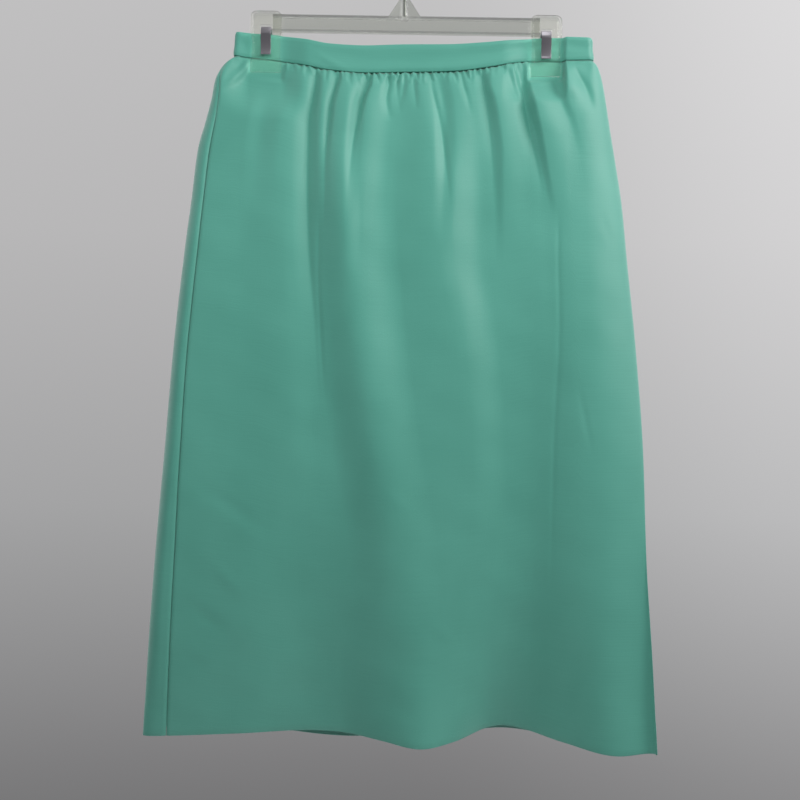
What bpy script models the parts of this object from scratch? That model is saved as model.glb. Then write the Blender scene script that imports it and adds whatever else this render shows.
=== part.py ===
"""A-line skirt with a gathered waist, pinched by its band in a clip hanger.

Frame: metres, +Z up, the front faces -Y and +X is to the right of someone facing it.
Origin: the top of the hook's inside, where the rail carries everything.
Sizes and places below are in millimetres. A height is written as a drop below the origin,
and a depth grows towards the back, so the front lies at negative depths.
"""
from collections import namedtuple
from math import cos, pi, radians, sin

import bmesh
import bpy
import numpy as np
from mathutils import Matrix, Vector

MM = 0.001

# ---------------------------------------------------------------- cloth sizes
SEAM_GAP = 0.3          # between neighbouring pieces
PANEL_WALL = 1.5
BAND_WALL = 2.0
BAND_STEP = 0.5         # the band's face stands this far proud of the panels
BAND_TOP = 94.0         # level of the band's top edge at the side seams
BAND_SEAM = 118.0       # level of the gathered seam under the band
SAG_FADE = 150.0        # the band's sag dies out over this height below it
HEM_START = 480.0       # the hem's unevenness starts here
HEM = 785.0             # level of the hem at the side folds
TURN = 0.06             # share of a face's stations that goes round each side fold

PANEL_LEVELS = (118.15, 125, 133, 143, 155, 170, 190, 216, 250,
                295, 350, 415, 480, 550, 620, 690, 740, 785)
BAND_LEVELS = (94, 106, 117.85)
FRONT_COLUMNS = 86
BACK_COLUMNS = 38
BAND_COLUMNS = 120

# One row for each level: the side folds, the depth of each face and of each side fold, how far
# in from its side fold a face goes on turning, the side seams' distance round from their fold
# (to the front on the left, to the back on the right), and the centre-back seam.
Section = namedtuple("Section", "level left right front back edge_left edge_right "
                                "turn_left turn_right seam_side seam_back")
SECTIONS = (
    Section(94, -164.5, 183.6, -6.5, 7.0, 0, 0, 6, 6, 0.3, 10),
    Section(118, -166.5, 185.6, -7.5, 7.0, 0, 0, 6, 6, 0.3, 10),
    Section(124, -173.0, 189.5, -9.0, 9.0, 0, 0, 7, 8, 0.8, 10),
    Section(132, -179.0, 192.5, -11.0, 11.5, 0, 0, 9, 13, 2.0, 10),
    Section(142, -183.8, 195.0, -13.0, 14.0, 0, 0, 10, 17, 5.0, 10),
    Section(160, -187.0, 198.3, -15.5, 16.5, 0, 0, 11, 23, 8.0, 10),
    Section(185, -193.0, 202.5, -17.5, 19.0, 0, 0, 12, 29, 11.5, 9),
    Section(210, -199.5, 207.0, -19.0, 21.0, 0, 0, 12, 34, 14.0, 8),
    Section(260, -205.0, 215.0, -22.0, 25.0, 0, -2, 13, 38, 14.5, 6),
    Section(310, -211.0, 220.0, -24.0, 29.0, 1, -5, 13, 40, 16.0, 3),
    Section(400, -220.0, 229.3, -25.0, 34.0, 2, -11, 13, 43, 17.0, -3),
    Section(500, -227.5, 236.6, -22.0, 39.0, 3, -19, 14, 46, 18.5, -10),
    Section(600, -235.5, 239.8, -16.0, 43.0, 5, -27, 14, 48, 21.5, -18),
    Section(700, -242.0, 246.0, -7.0, 47.0, 7, -34, 15, 50, 23.0, -27),
    Section(785, -246.0, 251.0, 3.0, 50.0, 8, -38, 16, 52, 23.5, -34),
)

# The band sags between the clips: the drop of its two edges along its front.
BandPoint = namedtuple("BandPoint", "place top bottom")
BAND_EDGES = (
    BandPoint(-166, 94.2, 117.8),
    BandPoint(-149, 95.4, 119.8),
    BandPoint(-119, 97.8, 122.9),
    BandPoint(-95, 101.2, 127.2),
    BandPoint(-72, 105.2, 131.4),
    BandPoint(-40, 106.5, 133.8),
    BandPoint(0, 104.9, 132.8),
    BandPoint(45, 104.0, 131.2),
    BandPoint(85, 101.0, 125.9),
    BandPoint(120, 97.2, 119.4),
    BandPoint(155, 95.2, 118.6),
    BandPoint(185, 95.6, 117.5),
)
BACK_SAG = 3.0          # the back of the band hangs this much lower between the clips

# The hem isn't level: how much lower than at the side folds it hangs on each face.
HemPoint = namedtuple("HemPoint", "place front back")
HEM_EDGES = (
    HemPoint(-246, 0.0, 0.0),
    HemPoint(-205, -1.5, 5.0),
    HemPoint(-140, -4.5, 8.0),
    HemPoint(-70, -6.0, 9.0),
    HemPoint(-10, -3.0, 9.0),
    HemPoint(26, 1.0, 9.0),
    HemPoint(60, -3.5, 9.0),
    HemPoint(108, -12.0, 5.0),
    HemPoint(165, -3.5, 4.0),
    HemPoint(214, 2.5, 4.0),
    HemPoint(251, 0.0, 0.0),
)

FOLD_RUN_IN = 8.0       # a fold grows to its first rise over this height
SEAM_HOLD = 0.2         # share of a fold's rise that is left right at the band's seam
SEAM_RELEASE = 10.0     # the folds are whole this far below the seam

# A fold runs through the points of its route, each (drop, place across, rise), where a positive
# rise stands out of the cloth's face and a negative one is a trough. It may reach further to one
# side than to the other.
Fold = namedtuple("Fold", "name left right route")


def fold(name, left, right, *route):
    return Fold(name, left, right, route)


FRONT_FOLDS = (
    fold("left of the left clip, trough", 6, 6, (122, -154, -2), (130, -158, -3), (141, -163, 0)),
    fold("left of the left clip", 8, 8, (122, -150, 2), (136, -160, 3.5), (152, -171, 0)),
    fold("right of the left clip, trough", 16, 20,
         (127, -120, -1), (160, -130, -2.5), (199, -137, -2), (270, -139, 0)),
    fold("left field", 45, 26,
         (128, -113, 2), (209, -115, 4), (316, -113, 4), (453, -106, 3), (560, -98, 0)),
    fold("gather 1", 9, 9, (132, -78, 1.5), (189, -79, 2), (243, -78, 1.5), (290, -77, 0)),
    fold("gather 2", 33, 17,
         (130, -51, 3.5), (169, -55, 7), (228, -57, 7.5), (285, -55, 4), (340, -53, 0)),
    fold("gather 3", 12, 26, (135, -29, 3.5), (173, -35, 5.5), (222, -39, 4.5), (300, -42, 0)),
    fold("middle ridge", 42, 46,
         (195, -52, 0), (306, -47, 12), (403, -36, 12), (501, -21, 9), (608, -4, 5), (700, 0, 0)),
    fold("gather 4", 38, 14,
         (134, 20, 3), (158, 26, 4), (187, 29, 4), (226, 29, 3), (300, 27, 0)),
    fold("gather 5", 14, 28,
         (136, 46, 3), (167, 51, 3.5), (206, 53, 3.5), (250, 52, 2.5), (310, 50, 0)),
    fold("right ridge", 80, 42,
         (170, 34, 0), (250, 34, 7), (310, 36, 9), (403, 54, 7), (480, 60, 4), (580, 62, 0)),
    fold("gather 6", 14, 26, (131, 87, 3), (166, 94, 4.5), (215, 98, 3.5), (320, 100, 0)),
    fold("gather 7", 6, 8, (123, 102, 2), (142, 110, 3), (158, 116, 0)),
    fold("right clip", 14, 34, (123, 126, 3), (161, 132, 6), (195, 138, 5), (270, 148, 0)),
    fold("right shoulder", 30, 48,
         (140, 156, 0), (200, 158, 3), (300, 166, 4), (400, 172, 3), (560, 180, 0)),
    fold("right field, trough", 34, 66,
         (190, 80, 0), (290, 82, -3.5), (400, 97, -3.5), (500, 106, -4), (640, 110, 0)),
    fold("right of the right clip", 12, 15,
         (121, 156, 1.5), (140, 166, 2.5), (153, 177, 2), (175, 192, 0)),
    fold("beside the right clip, trough", 24, 26,
         (118, 168, -1), (134, 168, -5.5), (150, 172, -5), (175, 177, -2.5), (215, 182, 0)),
    fold("hem, left trough", 75, 70, (420, -65, 0), (620, -76, -6), (790, -82, -12)),
    fold("hem, middle ridge", 80, 72, (330, 12, 0), (590, 20, 8), (700, 24, 17), (790, 26, 30)),
    fold("hem, right trough", 50, 55, (420, 124, 0), (600, 118, -4), (700, 112, -9), (790, 106, -20)),
    fold("hem, right ridge", 80, 80, (300, 196, 0), (590, 206, 14), (700, 210, 24), (790, 214, 38)),
)
BACK_FOLDS = (
    fold("gather 1, trough", 9, 9, (124, -152, -2), (150, -160, -3), (190, -167, 0)),
    fold("gather 2", 13, 13, (122, -104, 2), (180, -112, 4), (330, -118, 0)),
    fold("gather 2, trough", 10, 10, (124, -86, -3), (190, -92, -5), (300, -94, 0)),
    fold("gather 3", 13, 13, (126, -70, 2), (200, -72, 4), (380, -66, 0)),
    fold("gather 3, trough", 9, 9, (128, -50, -3), (176, -52, -4), (240, -50, 0)),
    fold("gather 4", 11, 11, (126, -33, 2), (210, -34, 3.5), (300, -38, 0)),
    fold("gather 5", 10, 10, (126, 38, 2), (190, 42, 3.5), (280, 44, 0)),
    fold("gather 5, trough", 10, 10, (126, 53, -3), (184, 59, -5), (320, 64, 0)),
    fold("gather 6", 14, 14, (126, 70, 2), (220, 78, 4.5), (420, 90, 0)),
    fold("gather 6, trough", 9, 9, (124, 91, -3), (170, 98, -4), (240, 104, 0)),
    fold("gather 7", 12, 12, (122, 108, 1), (190, 118, 4), (300, 126, 0)),
    fold("gather 8, trough", 9, 9, (122, 166, -2), (150, 174, -3), (200, 180, 0)),
    fold("hem, left ridge", 70, 70, (380, -128, 0), (600, -138, 8), (790, -146, 15)),
    fold("hem, middle trough", 62, 62, (360, -24, 0), (600, -34, -6), (790, -42, -11)),
    fold("hem, right ridge", 70, 70, (280, 100, 0), (560, 108, 9), (790, 114, 17)),
    fold("hem, right trough", 40, 40, (420, 178, 0), (600, 184, -5), (790, 190, -9)),
)

# ---------------------------------------------------------------- hanger sizes
CLIP_PLACES = {"left": -134.5, "right": 138.4}
PINCH_HALF_WIDTH = 17.0
PINCH_EASE = 28.0       # the cloth opens again over this width beside a jaw
PINCH_LEVEL = 136.0     # the panels lie together down to here
PINCH_FADE = 44.0       # and part over this height
RIDGE_FREE = 134.0      # level where ridges are free of a clip
RIDGE_FADE = 6.0

BAR_TOP = 77.0
BAR_BOTTOM = 93.6
BAR_HALF_DEPTH = 4.0
BAR_END_TO_CLIP = 6.0
FLANGE = 2.2
WEB_HALF = 1.2
GUSSET_HALF_BASE = 16.5
GUSSET_HALF_TOP = 3.0
GUSSET_TOP = 57.0
BOSS_RADIUS = 4.2
BOSS_TOP = 54.0
BOSS_BOTTOM = 81.0
SHANK_END = 76.0

WIRE_RADIUS = 1.6
HOOK_INSIDE = 19.0      # radius of the hook's inside
HOOK_TIP = 205.0        # angle where the wire ends, from +X over the top, degrees
HOOK_START = -48.0      # angle where the arc meets the shank's bend, degrees
HOOK_RUN_IN = 12.0      # the bend's pull along the arc and along the shank
SHANK_RUN_OUT = 8.0
SHANK_STRAIGHT_TOP = 50.0

# One row for each height of a clip's jaw: half its width, its two faces' distances from the
# middle plane, and how far the ribs along its sides stand out.
JawRow = namedtuple("JawRow", "drop half_width inner outer rib")
JAW_ROWS = (
    JawRow(75.5, 11.5, 4.3, 6.2, 0.0),
    JawRow(77.0, 13.6, 4.3, 6.7, 0.5),
    JawRow(80.0, 15.0, 4.3, 6.9, 1.1),
    JawRow(96.0, 15.0, 4.3, 6.5, 1.1),
    JawRow(98.5, 13.6, 2.9, 5.4, 1.1),
    JawRow(121.0, 13.6, 2.5, 4.7, 1.1),
    JawRow(123.4, 15.0, 2.5, 4.9, 1.1),
    JawRow(124.2, 15.0, 1.95, 4.9, 1.1),
    JawRow(132.0, 15.0, 1.95, 4.5, 0.8),
    JawRow(134.0, 14.6, 2.2, 4.0, 0.0),
)
RIB_WIDTH = 2.0
SPRING_HALF_WIDTH = 4.9
SPRING_WALL = 0.8
SPRING_CROSS = 90.0     # drop of the spring's cross piece, under the bar's top flange
SPRING_END = 115.5
WINDOW_HALF_WIDTH = 5.4
WINDOW_TOP = 88.4
WINDOW_BOTTOM = 93.0
WINDOW_DEPTH = 6.0      # middle of the window's cut, and half its depth
WINDOW_HALF_DEPTH = 4.0

# ---------------------------------------------------------------- zip sizes
ZIP_HALF_SLIT = 2.4     # the seam's edges lie this far from the zip's middle
ZIP_END = 292.0         # level where the slit starts to close
ZIP_CLOSE = 20.0
TAPE_TOP = 95.5
TAPE_END = 318.0
TAPE_HALF_WIDTH = 11.0
TAPE_WALL = 0.8
TAPE_DEPTH = PANEL_WALL + SEAM_GAP
SLIDER_DROP = 112.0
NECK_HALF_WIDTH = 2.1
NECK_HALF_HEIGHT = 3.6
PLATE_HALF_WIDTH = 3.3
PLATE_HALF_HEIGHT = 4.4
PLATE_WALL = 1.2
EAR_WALL = 0.9
EAR_INNER = 1.9
EAR_HALF_HEIGHT = 1.5
EAR_OVER_PIN = 1.1      # the ears reach this far past the pin's middle
JOIN = 0.4              # joined shapes reach this far into each other
PIN_RADIUS = 0.6
PIN_HEIGHT = 3.9        # the pull's pin above the band's face
EYE_RADIUS = 1.6
EYE_HOLE_RADIUS = 0.9
EYE_HALF_WIDTH = 1.6
TONGUE_TRIM = 0.05      # the tongue and plate lie this much inside what they join
PULL_HALF_WIDTH = 2.4
PULL_WALL = 1.0
PULL_LENGTH = 17.0
PULL_WIDENS = 3.4

MATERIALS = {           # colour, roughness, metallic, transmission
    "cloth": ((0.115, 0.330, 0.265), 0.62, 0.0, 0.0),
    "tape": ((0.105, 0.300, 0.240), 0.75, 0.0, 0.0),
    "clear_plastic": ((0.82, 0.84, 0.84), 0.12, 0.0, 0.6),
    "steel": ((0.62, 0.62, 0.61), 0.28, 1.0, 0.0),
    "zip_metal": ((0.30, 0.45, 0.40), 0.40, 1.0, 0.0),
}


# ---------------------------------------------------------------- helpers
def ease(amount):
    """0 below 0, 1 above 1, smooth between."""
    amount = np.clip(amount, 0.0, 1.0)
    return amount * amount * (3.0 - 2.0 * amount)


def swell(offset):
    """1 in a fold's middle, 0 beyond its reach."""
    return 0.5 + 0.5 * np.cos(pi * np.clip(offset, -1.0, 1.0))


def smooth_through(at, places, values):
    """A smooth curve through (places, values) that never overshoots a row."""
    places = np.asarray(places, float)
    values = np.asarray(values, float)
    steps = np.diff(places)
    slopes = np.diff(values) / steps
    before, after = slopes[:-1], slopes[1:]
    same_way = before * after > 0
    total = np.where(same_way, before + after, 1.0)
    inner = np.where(same_way, 2.0 * before * after / total, 0.0)
    tangents = np.concatenate((slopes[:1], inner, slopes[-1:]))
    at = np.clip(at, places[0], places[-1])
    row = np.clip(np.searchsorted(places, at, side="right") - 1, 0, len(steps) - 1)
    part = (at - places[row]) / steps[row]
    step = steps[row]
    return (values[row] * (1.0 + 2.0 * part) * (1.0 - part) ** 2
            + step * tangents[row] * part * (1.0 - part) ** 2
            + values[row + 1] * part ** 2 * (3.0 - 2.0 * part)
            + step * tangents[row + 1] * part ** 2 * (part - 1.0))


def section(name, level):
    """One column of SECTIONS at any level."""
    return smooth_through(level, [row.level for row in SECTIONS],
                          [getattr(row, name) for row in SECTIONS])


def along(name, place, edges):
    """One column of BAND_EDGES or HEM_EDGES at any place across."""
    return smooth_through(place, [row.place for row in edges],
                          [getattr(row, name) for row in edges])


# ---------------------------------------------------------------- the skirt's form
def pinch(place, fade):
    """1 where the clips press the cloth together, 0 away from them."""
    held = 0.0
    for clip_place in CLIP_PLACES.values():
        beyond = np.abs(place - clip_place) - PINCH_HALF_WIDTH
        held = np.maximum(held, 1.0 - ease(beyond / PINCH_EASE))
    return held * fade


def fold_rise(folds, place, drop, held_long, held_short):
    """How far the folds move the face out. A clip holds back troughs for longer than ridges."""
    rise = 0.0
    for each in folds:
        drops, places, rises = zip(*each.route)
        offset = place - smooth_through(drop, drops, places)
        offset = offset / np.where(offset < 0, each.left, each.right)
        grown = ease((drop - drops[0]) / FOLD_RUN_IN + 1.0)
        height = smooth_through(drop, drops, rises) * grown
        height = np.where(height < 0, height * (1.0 - held_long), height * (1.0 - held_short))
        rise = rise + height * swell(offset)
    return rise


def face_drop(place, level, lens, on_front):
    """The real drop of a level: it follows the sagging band and the hem's uneven edge."""
    sag_top = along("top", place, BAND_EDGES) - BAND_TOP
    sag_bottom = along("bottom", place, BAND_EDGES) - BAND_SEAM
    between = 1.0 - pinch(place, 1.0)
    sag_back = np.where(on_front, 0.0, BACK_SAG * between * lens)
    in_band = np.clip((level - BAND_TOP) / (BAND_SEAM - BAND_TOP), 0.0, 1.0)
    below = 1.0 - ease((level - BAND_SEAM) / SAG_FADE)
    sag = (sag_top + (sag_bottom - sag_top) * in_band + sag_back) * below
    hem_part = ease((level - HEM_START) / (HEM - HEM_START))
    hem_shift = np.where(on_front, along("front", place, HEM_EDGES), along("back", place, HEM_EDGES))
    return level + sag + hem_shift * hem_part


def skirt_face(around, level):
    """A point of the outer face: around is 0 to 1 over the front, 1 to 2 back over the back."""
    around, level = np.broadcast_arrays(np.mod(around, 2.0), np.asarray(level, float))
    on_front = around < 1.0
    across = np.where(on_front, around, 2.0 - around)
    left, right = section("left", level), section("right", level)
    turn_left, turn_right = section("turn_left", level), section("turn_right", level)
    start = np.clip(across / TURN, 0.0, 1.0) * pi / 2
    end = np.clip((1.0 - across) / TURN, 0.0, 1.0) * pi / 2
    flat = np.clip((across - TURN) / (1.0 - 2.0 * TURN), 0.0, 1.0)
    place = left + turn_left * (1.0 - np.cos(start)) + turn_right * np.cos(end)
    place = place + (right - left - turn_left - turn_right) * flat
    lens = np.sin(start) * np.sin(end)
    drop = face_drop(place, level, lens, on_front)

    fade_long = 1.0 - ease((level - PINCH_LEVEL) / PINCH_FADE)
    fade_short = 1.0 - ease((level - RIDGE_FREE) / RIDGE_FADE)
    held_long, held_short = pinch(place, fade_long), pinch(place, fade_short)
    front_rise = fold_rise(FRONT_FOLDS, place, drop, held_long, held_short)
    back_rise = fold_rise(BACK_FOLDS, place, drop, held_long, held_short)
    released = SEAM_HOLD + (1.0 - SEAM_HOLD) * ease((level - BAND_SEAM) / SEAM_RELEASE)
    below_seam = np.where(level > BAND_SEAM, released, 0.0)
    share = (place - left) / (right - left)
    edge = section("edge_left", level) * (1.0 - share) + section("edge_right", level) * share
    out = np.where(on_front, -1.0, 1.0)
    base = np.where(on_front, section("front", level), section("back", level))
    closed = out * (PANEL_WALL + SEAM_GAP / 2)
    base = base + (closed - base) * held_long
    depth = edge + (base + out * below_seam * np.where(on_front, front_rise, back_rise) - edge) * lens
    return np.stack((place, depth, -drop), axis=-1)


def station_at(place, level, on_front):
    """Where around the tube a place across lies on one of its faces."""
    across = np.linspace(0.0, 1.0, 801)
    around = across if on_front else 2.0 - across
    return float(np.interp(place, skirt_face(around, level)[:, 0], around))


def outward(around, level):
    """The outer face's normal, by small steps round and down the tube."""
    step_around, step_level = 2e-4, 0.05
    round_way = skirt_face(around + step_around, level) - skirt_face(around - step_around, level)
    down_way = skirt_face(around, level + step_level) - skirt_face(around, level - step_level)
    normal = np.cross(down_way, round_way)
    return normal / np.linalg.norm(normal, axis=-1, keepdims=True)


def seams_at(level):
    """Stations of the left, right and centre-back seams."""
    inset = float(section("seam_side", level))
    left = station_at(float(section("left", level)) + inset, level, True)
    right = station_at(float(section("right", level)) - inset, level, False)
    back = station_at(float(section("seam_back", level)), level, False)
    return left, right, back


def trimmed(start, end, level, start_gap, end_gap):
    """Move both ends of a stretch inwards by real distances along the cloth."""
    step = 1e-3
    ends = []
    for station, gap, way in ((start, start_gap, 1.0), (end, end_gap, -1.0)):
        speed = np.linalg.norm(skirt_face(station + way * step, level) - skirt_face(station, level))
        ends.append(station + way * gap * step / speed)
    return ends


def half_slit(level):
    """Half the width between the centre-back edges: open along the zip, a seam below it."""
    closing = ease((level - ZIP_END) / ZIP_CLOSE)
    return ZIP_HALF_SLIT + (SEAM_GAP / 2 - ZIP_HALF_SLIT) * closing


def stretch(levels, columns, ends_at, lift, wall):
    """Rows of points over a stretch of the tube: its outer face, moved out by lift, and the
    inner face that lies behind it by the cloth's wall."""
    outer, inner = [], []
    for level in levels:
        start, end = ends_at(level)
        around = np.linspace(start, end, columns)
        face, normal = skirt_face(around, level), outward(around, level)
        outer.append(face + lift * normal)
        inner.append(face + (lift - wall) * normal)
    return np.array(outer), np.array(inner)


# ---------------------------------------------------------------- Blender helpers
def new_material(name, finish):
    """A Principled material of its own for one object."""
    colour, roughness, metallic, transmission = finish
    material = bpy.data.materials.new(name)
    material.use_nodes = True
    shader = material.node_tree.nodes["Principled BSDF"]
    shader.inputs["Base Color"].default_value = (*colour, 1.0)
    shader.inputs["Roughness"].default_value = roughness
    shader.inputs["Metallic"].default_value = metallic
    shader.inputs["Transmission Weight"].default_value = transmission
    return material


def add_object(name, shape, collection, finish=None):
    """Put a bmesh, a mesh or a curve into the scene."""
    if isinstance(shape, bmesh.types.BMesh):
        mesh = bpy.data.meshes.new(name)
        shape.to_mesh(mesh)
        shape.free()
        shape = mesh
    thing = bpy.data.objects.new(name, shape)
    collection.objects.link(thing)
    if finish:
        thing.data.materials.append(new_material(name, MATERIALS[finish]))
    return thing


def cloth_piece(name, faces, finish):
    """A wall of cloth: a flat grid, extruded, with its two sides laid through rows of points."""
    outer, inner = faces
    rows, columns = outer.shape[:2]
    mesh = bmesh.new()
    bmesh.ops.create_grid(mesh, x_segments=columns - 1, y_segments=rows - 1, size=0.5)
    flat = mesh.verts[:] + mesh.edges[:] + mesh.faces[:]
    extruded = bmesh.ops.extrude_face_region(mesh, geom=flat, use_keep_orig=True)["geom"]
    behind = {item for item in extruded if isinstance(item, bmesh.types.BMVert)}
    for vertex in mesh.verts:
        column = round((vertex.co.x + 0.5) * (columns - 1))
        row = round((0.5 - vertex.co.y) * (rows - 1))
        side = inner if vertex in behind else outer
        vertex.co = Vector(side[row, column]) * MM
    bmesh.ops.recalc_face_normals(mesh, faces=mesh.faces)
    if mesh.calc_volume(signed=True) < 0:
        bmesh.ops.reverse_faces(mesh, faces=mesh.faces)
    piece = add_object(name, mesh, skirt_parts, finish)
    piece.data.shade_smooth()


def box(place, depth, drop, half_width, half_depth, half_height):
    """A box as a bmesh, its middle at (place, depth, drop)."""
    mesh = bmesh.new()
    size = Matrix.Diagonal((2 * half_width * MM, 2 * half_depth * MM, 2 * half_height * MM, 1.0))
    middle = Matrix.Translation(Vector((place, depth, -drop)) * MM)
    bmesh.ops.create_cube(mesh, size=1.0, matrix=middle @ size)
    return mesh


def rod(place, depth, drop, radius, half_length, axis, sides=24):
    """A cylinder along X or Z as a bmesh."""
    mesh = bmesh.new()
    turn = Matrix.Rotation(pi / 2, 4, "Y") if axis == "X" else Matrix.Identity(4)
    middle = Matrix.Translation(Vector((place, depth, -drop)) * MM)
    bmesh.ops.create_cone(mesh, cap_ends=True, segments=sides, radius1=radius * MM,
                          radius2=radius * MM, depth=2 * half_length * MM, matrix=middle @ turn)
    for face in mesh.faces:
        face.smooth = len(face.verts) == 4
    return mesh


def combine(piece, name, shape, operation):
    """Join a helper shape to a piece, or cut it out."""
    helper = add_object(name, shape, helper_parts)
    helper.hide_render = True
    helper.display_type = "WIRE"
    boolean = piece.modifiers.new(name, "BOOLEAN")
    boolean.operation = operation
    boolean.object = helper


# ---------------------------------------------------------------- cloth
def build_front():
    """The front, from the left side seam round the right side fold to the right side seam."""
    def ends_at(level):
        left, right, _ = seams_at(level)
        return trimmed(left, right, level, SEAM_GAP / 2, SEAM_GAP / 2)
    faces = stretch(PANEL_LEVELS, FRONT_COLUMNS, ends_at, 0.0, PANEL_WALL)
    cloth_piece("front_panel", faces, "cloth")


def build_backs():
    """The two backs, parted by the zip and by the centre-back seam below it."""
    def right_ends(level):
        _, right, back = seams_at(level)
        return trimmed(right, back, level, SEAM_GAP / 2, half_slit(level))

    def left_ends(level):
        left, _, back = seams_at(level)
        return trimmed(back, left + 2.0, level, half_slit(level), SEAM_GAP / 2)
    for name, ends_at in (("back_panel_right", right_ends), ("back_panel_left", left_ends)):
        faces = stretch(PANEL_LEVELS, BACK_COLUMNS, ends_at, 0.0, PANEL_WALL)
        cloth_piece(name, faces, "cloth")


def build_band():
    """The band, from the zip round the left side, the front and the right side to the zip."""
    def ends_at(level):
        _, _, back = seams_at(level)
        return trimmed(back - 2.0, back, level, ZIP_HALF_SLIT, ZIP_HALF_SLIT)
    faces = stretch(BAND_LEVELS, BAND_COLUMNS, ends_at, BAND_STEP, BAND_WALL)
    cloth_piece("waistband", faces, "cloth")


def build_zip():
    """The tape behind the slit, the slider in it, and the pull that swings on its pin."""
    def ends_at(level):
        _, _, back = seams_at(level)
        return trimmed(back, back, level, -TAPE_HALF_WIDTH, -TAPE_HALF_WIDTH)
    levels = [TAPE_TOP] + [level for level in PANEL_LEVELS if level < TAPE_END] + [TAPE_END]
    cloth_piece("zip_tape", stretch(levels, 9, ends_at, -TAPE_DEPTH, TAPE_WALL), "tape")

    level = BAND_TOP + (BAND_SEAM - BAND_TOP) / 2
    place, face, _ = skirt_face(np.array(seams_at(level)[2]), level)
    neck_back, plate_back = face - PANEL_WALL, face + BAND_STEP + SEAM_GAP
    neck_half = (plate_back - neck_back + JOIN) / 2
    pin_depth = face + BAND_STEP + PIN_HEIGHT
    slider = add_object("zip_slider", box(place, plate_back + PLATE_WALL / 2, SLIDER_DROP,
                        PLATE_HALF_WIDTH, PLATE_WALL / 2, PLATE_HALF_HEIGHT),
                        skirt_parts, "zip_metal")
    combine(slider, "slider_neck", box(place, neck_back + neck_half, SLIDER_DROP,
            NECK_HALF_WIDTH, neck_half, NECK_HALF_HEIGHT), "UNION")
    ear_half = (pin_depth + EAR_OVER_PIN - plate_back - JOIN) / 2
    for way in (-1, 1):
        combine(slider, "slider_ear", box(place + way * (EAR_INNER + EAR_WALL / 2),
                plate_back + JOIN + ear_half, SLIDER_DROP, EAR_WALL / 2, ear_half,
                EAR_HALF_HEIGHT), "UNION")
    combine(slider, "slider_pin", rod(place, pin_depth, SLIDER_DROP, PIN_RADIUS,
            EAR_INNER + EAR_WALL / 2, "X", 16), "UNION")

    pivot = Vector((place, pin_depth, -SLIDER_DROP)) * MM
    pull = add_object("zip_pull", rod(0, 0, 0, EYE_RADIUS, EYE_HALF_WIDTH, "X", 20),
                      skirt_parts, "zip_metal")
    tongue_top = (EYE_HOLE_RADIUS + EYE_RADIUS) / 2
    tongue_half = (PULL_WIDENS + JOIN - tongue_top) / 2
    plate_half = (PULL_LENGTH - PULL_WIDENS) / 2
    for name, shape, operation in (
            ("pull_tongue", box(0, 0, tongue_top + tongue_half, EYE_HALF_WIDTH - TONGUE_TRIM,
                                PULL_WALL / 2, tongue_half), "UNION"),
            ("pull_plate", box(0, 0, PULL_WIDENS + plate_half, PULL_HALF_WIDTH,
                               PULL_WALL / 2 - TONGUE_TRIM, plate_half), "UNION"),
            ("pull_hole", rod(0, 0, 0, EYE_HOLE_RADIUS, 2 * EYE_HALF_WIDTH, "X", 16),
             "DIFFERENCE")):
        combine(pull, name, shape, operation)
        bpy.data.objects[name].location = pivot
    pull.location = pivot


# ---------------------------------------------------------------- hanger
def build_bar():
    """The clear bar: an I section with a gusset and the boss that holds the hook's shank."""
    start = CLIP_PLACES["left"] + BAR_END_TO_CLIP
    end = CLIP_PLACES["right"] - BAR_END_TO_CLIP
    middle, half_length = (start + end) / 2, (end - start) / 2
    bar = add_object("hanger_bar", box(middle, 0, (BAR_TOP + BAR_BOTTOM) / 2, half_length,
                     WEB_HALF, (BAR_BOTTOM - BAR_TOP) / 2 - 0.5), skirt_parts, "clear_plastic")
    for name, drop in (("top_flange", BAR_TOP + FLANGE / 2),
                       ("bottom_flange", BAR_BOTTOM - FLANGE / 2)):
        combine(bar, name, box(middle, 0, drop, half_length - 0.4, BAR_HALF_DEPTH, FLANGE / 2),
                "UNION")
    gusset = box(0, 0, (GUSSET_TOP + BAR_TOP + 1) / 2, GUSSET_HALF_BASE, WEB_HALF + 0.3,
                 (BAR_TOP + 1 - GUSSET_TOP) / 2)
    for vertex in gusset.verts:
        if vertex.co.z > -(GUSSET_TOP + 1) * MM:
            vertex.co.x *= GUSSET_HALF_TOP / GUSSET_HALF_BASE
    combine(bar, "gusset", gusset, "UNION")
    combine(bar, "boss", rod(0, 0, (BOSS_TOP + BOSS_BOTTOM) / 2, BOSS_RADIUS,
            (BOSS_BOTTOM - BOSS_TOP) / 2, "Z", 28), "UNION")
    bore_half = (SHANK_END + SEAM_GAP - BOSS_TOP + 2) / 2
    combine(bar, "bore", rod(0, 0, SHANK_END + SEAM_GAP - bore_half, WIRE_RADIUS + SEAM_GAP,
            bore_half, "Z", 20), "DIFFERENCE")


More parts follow.
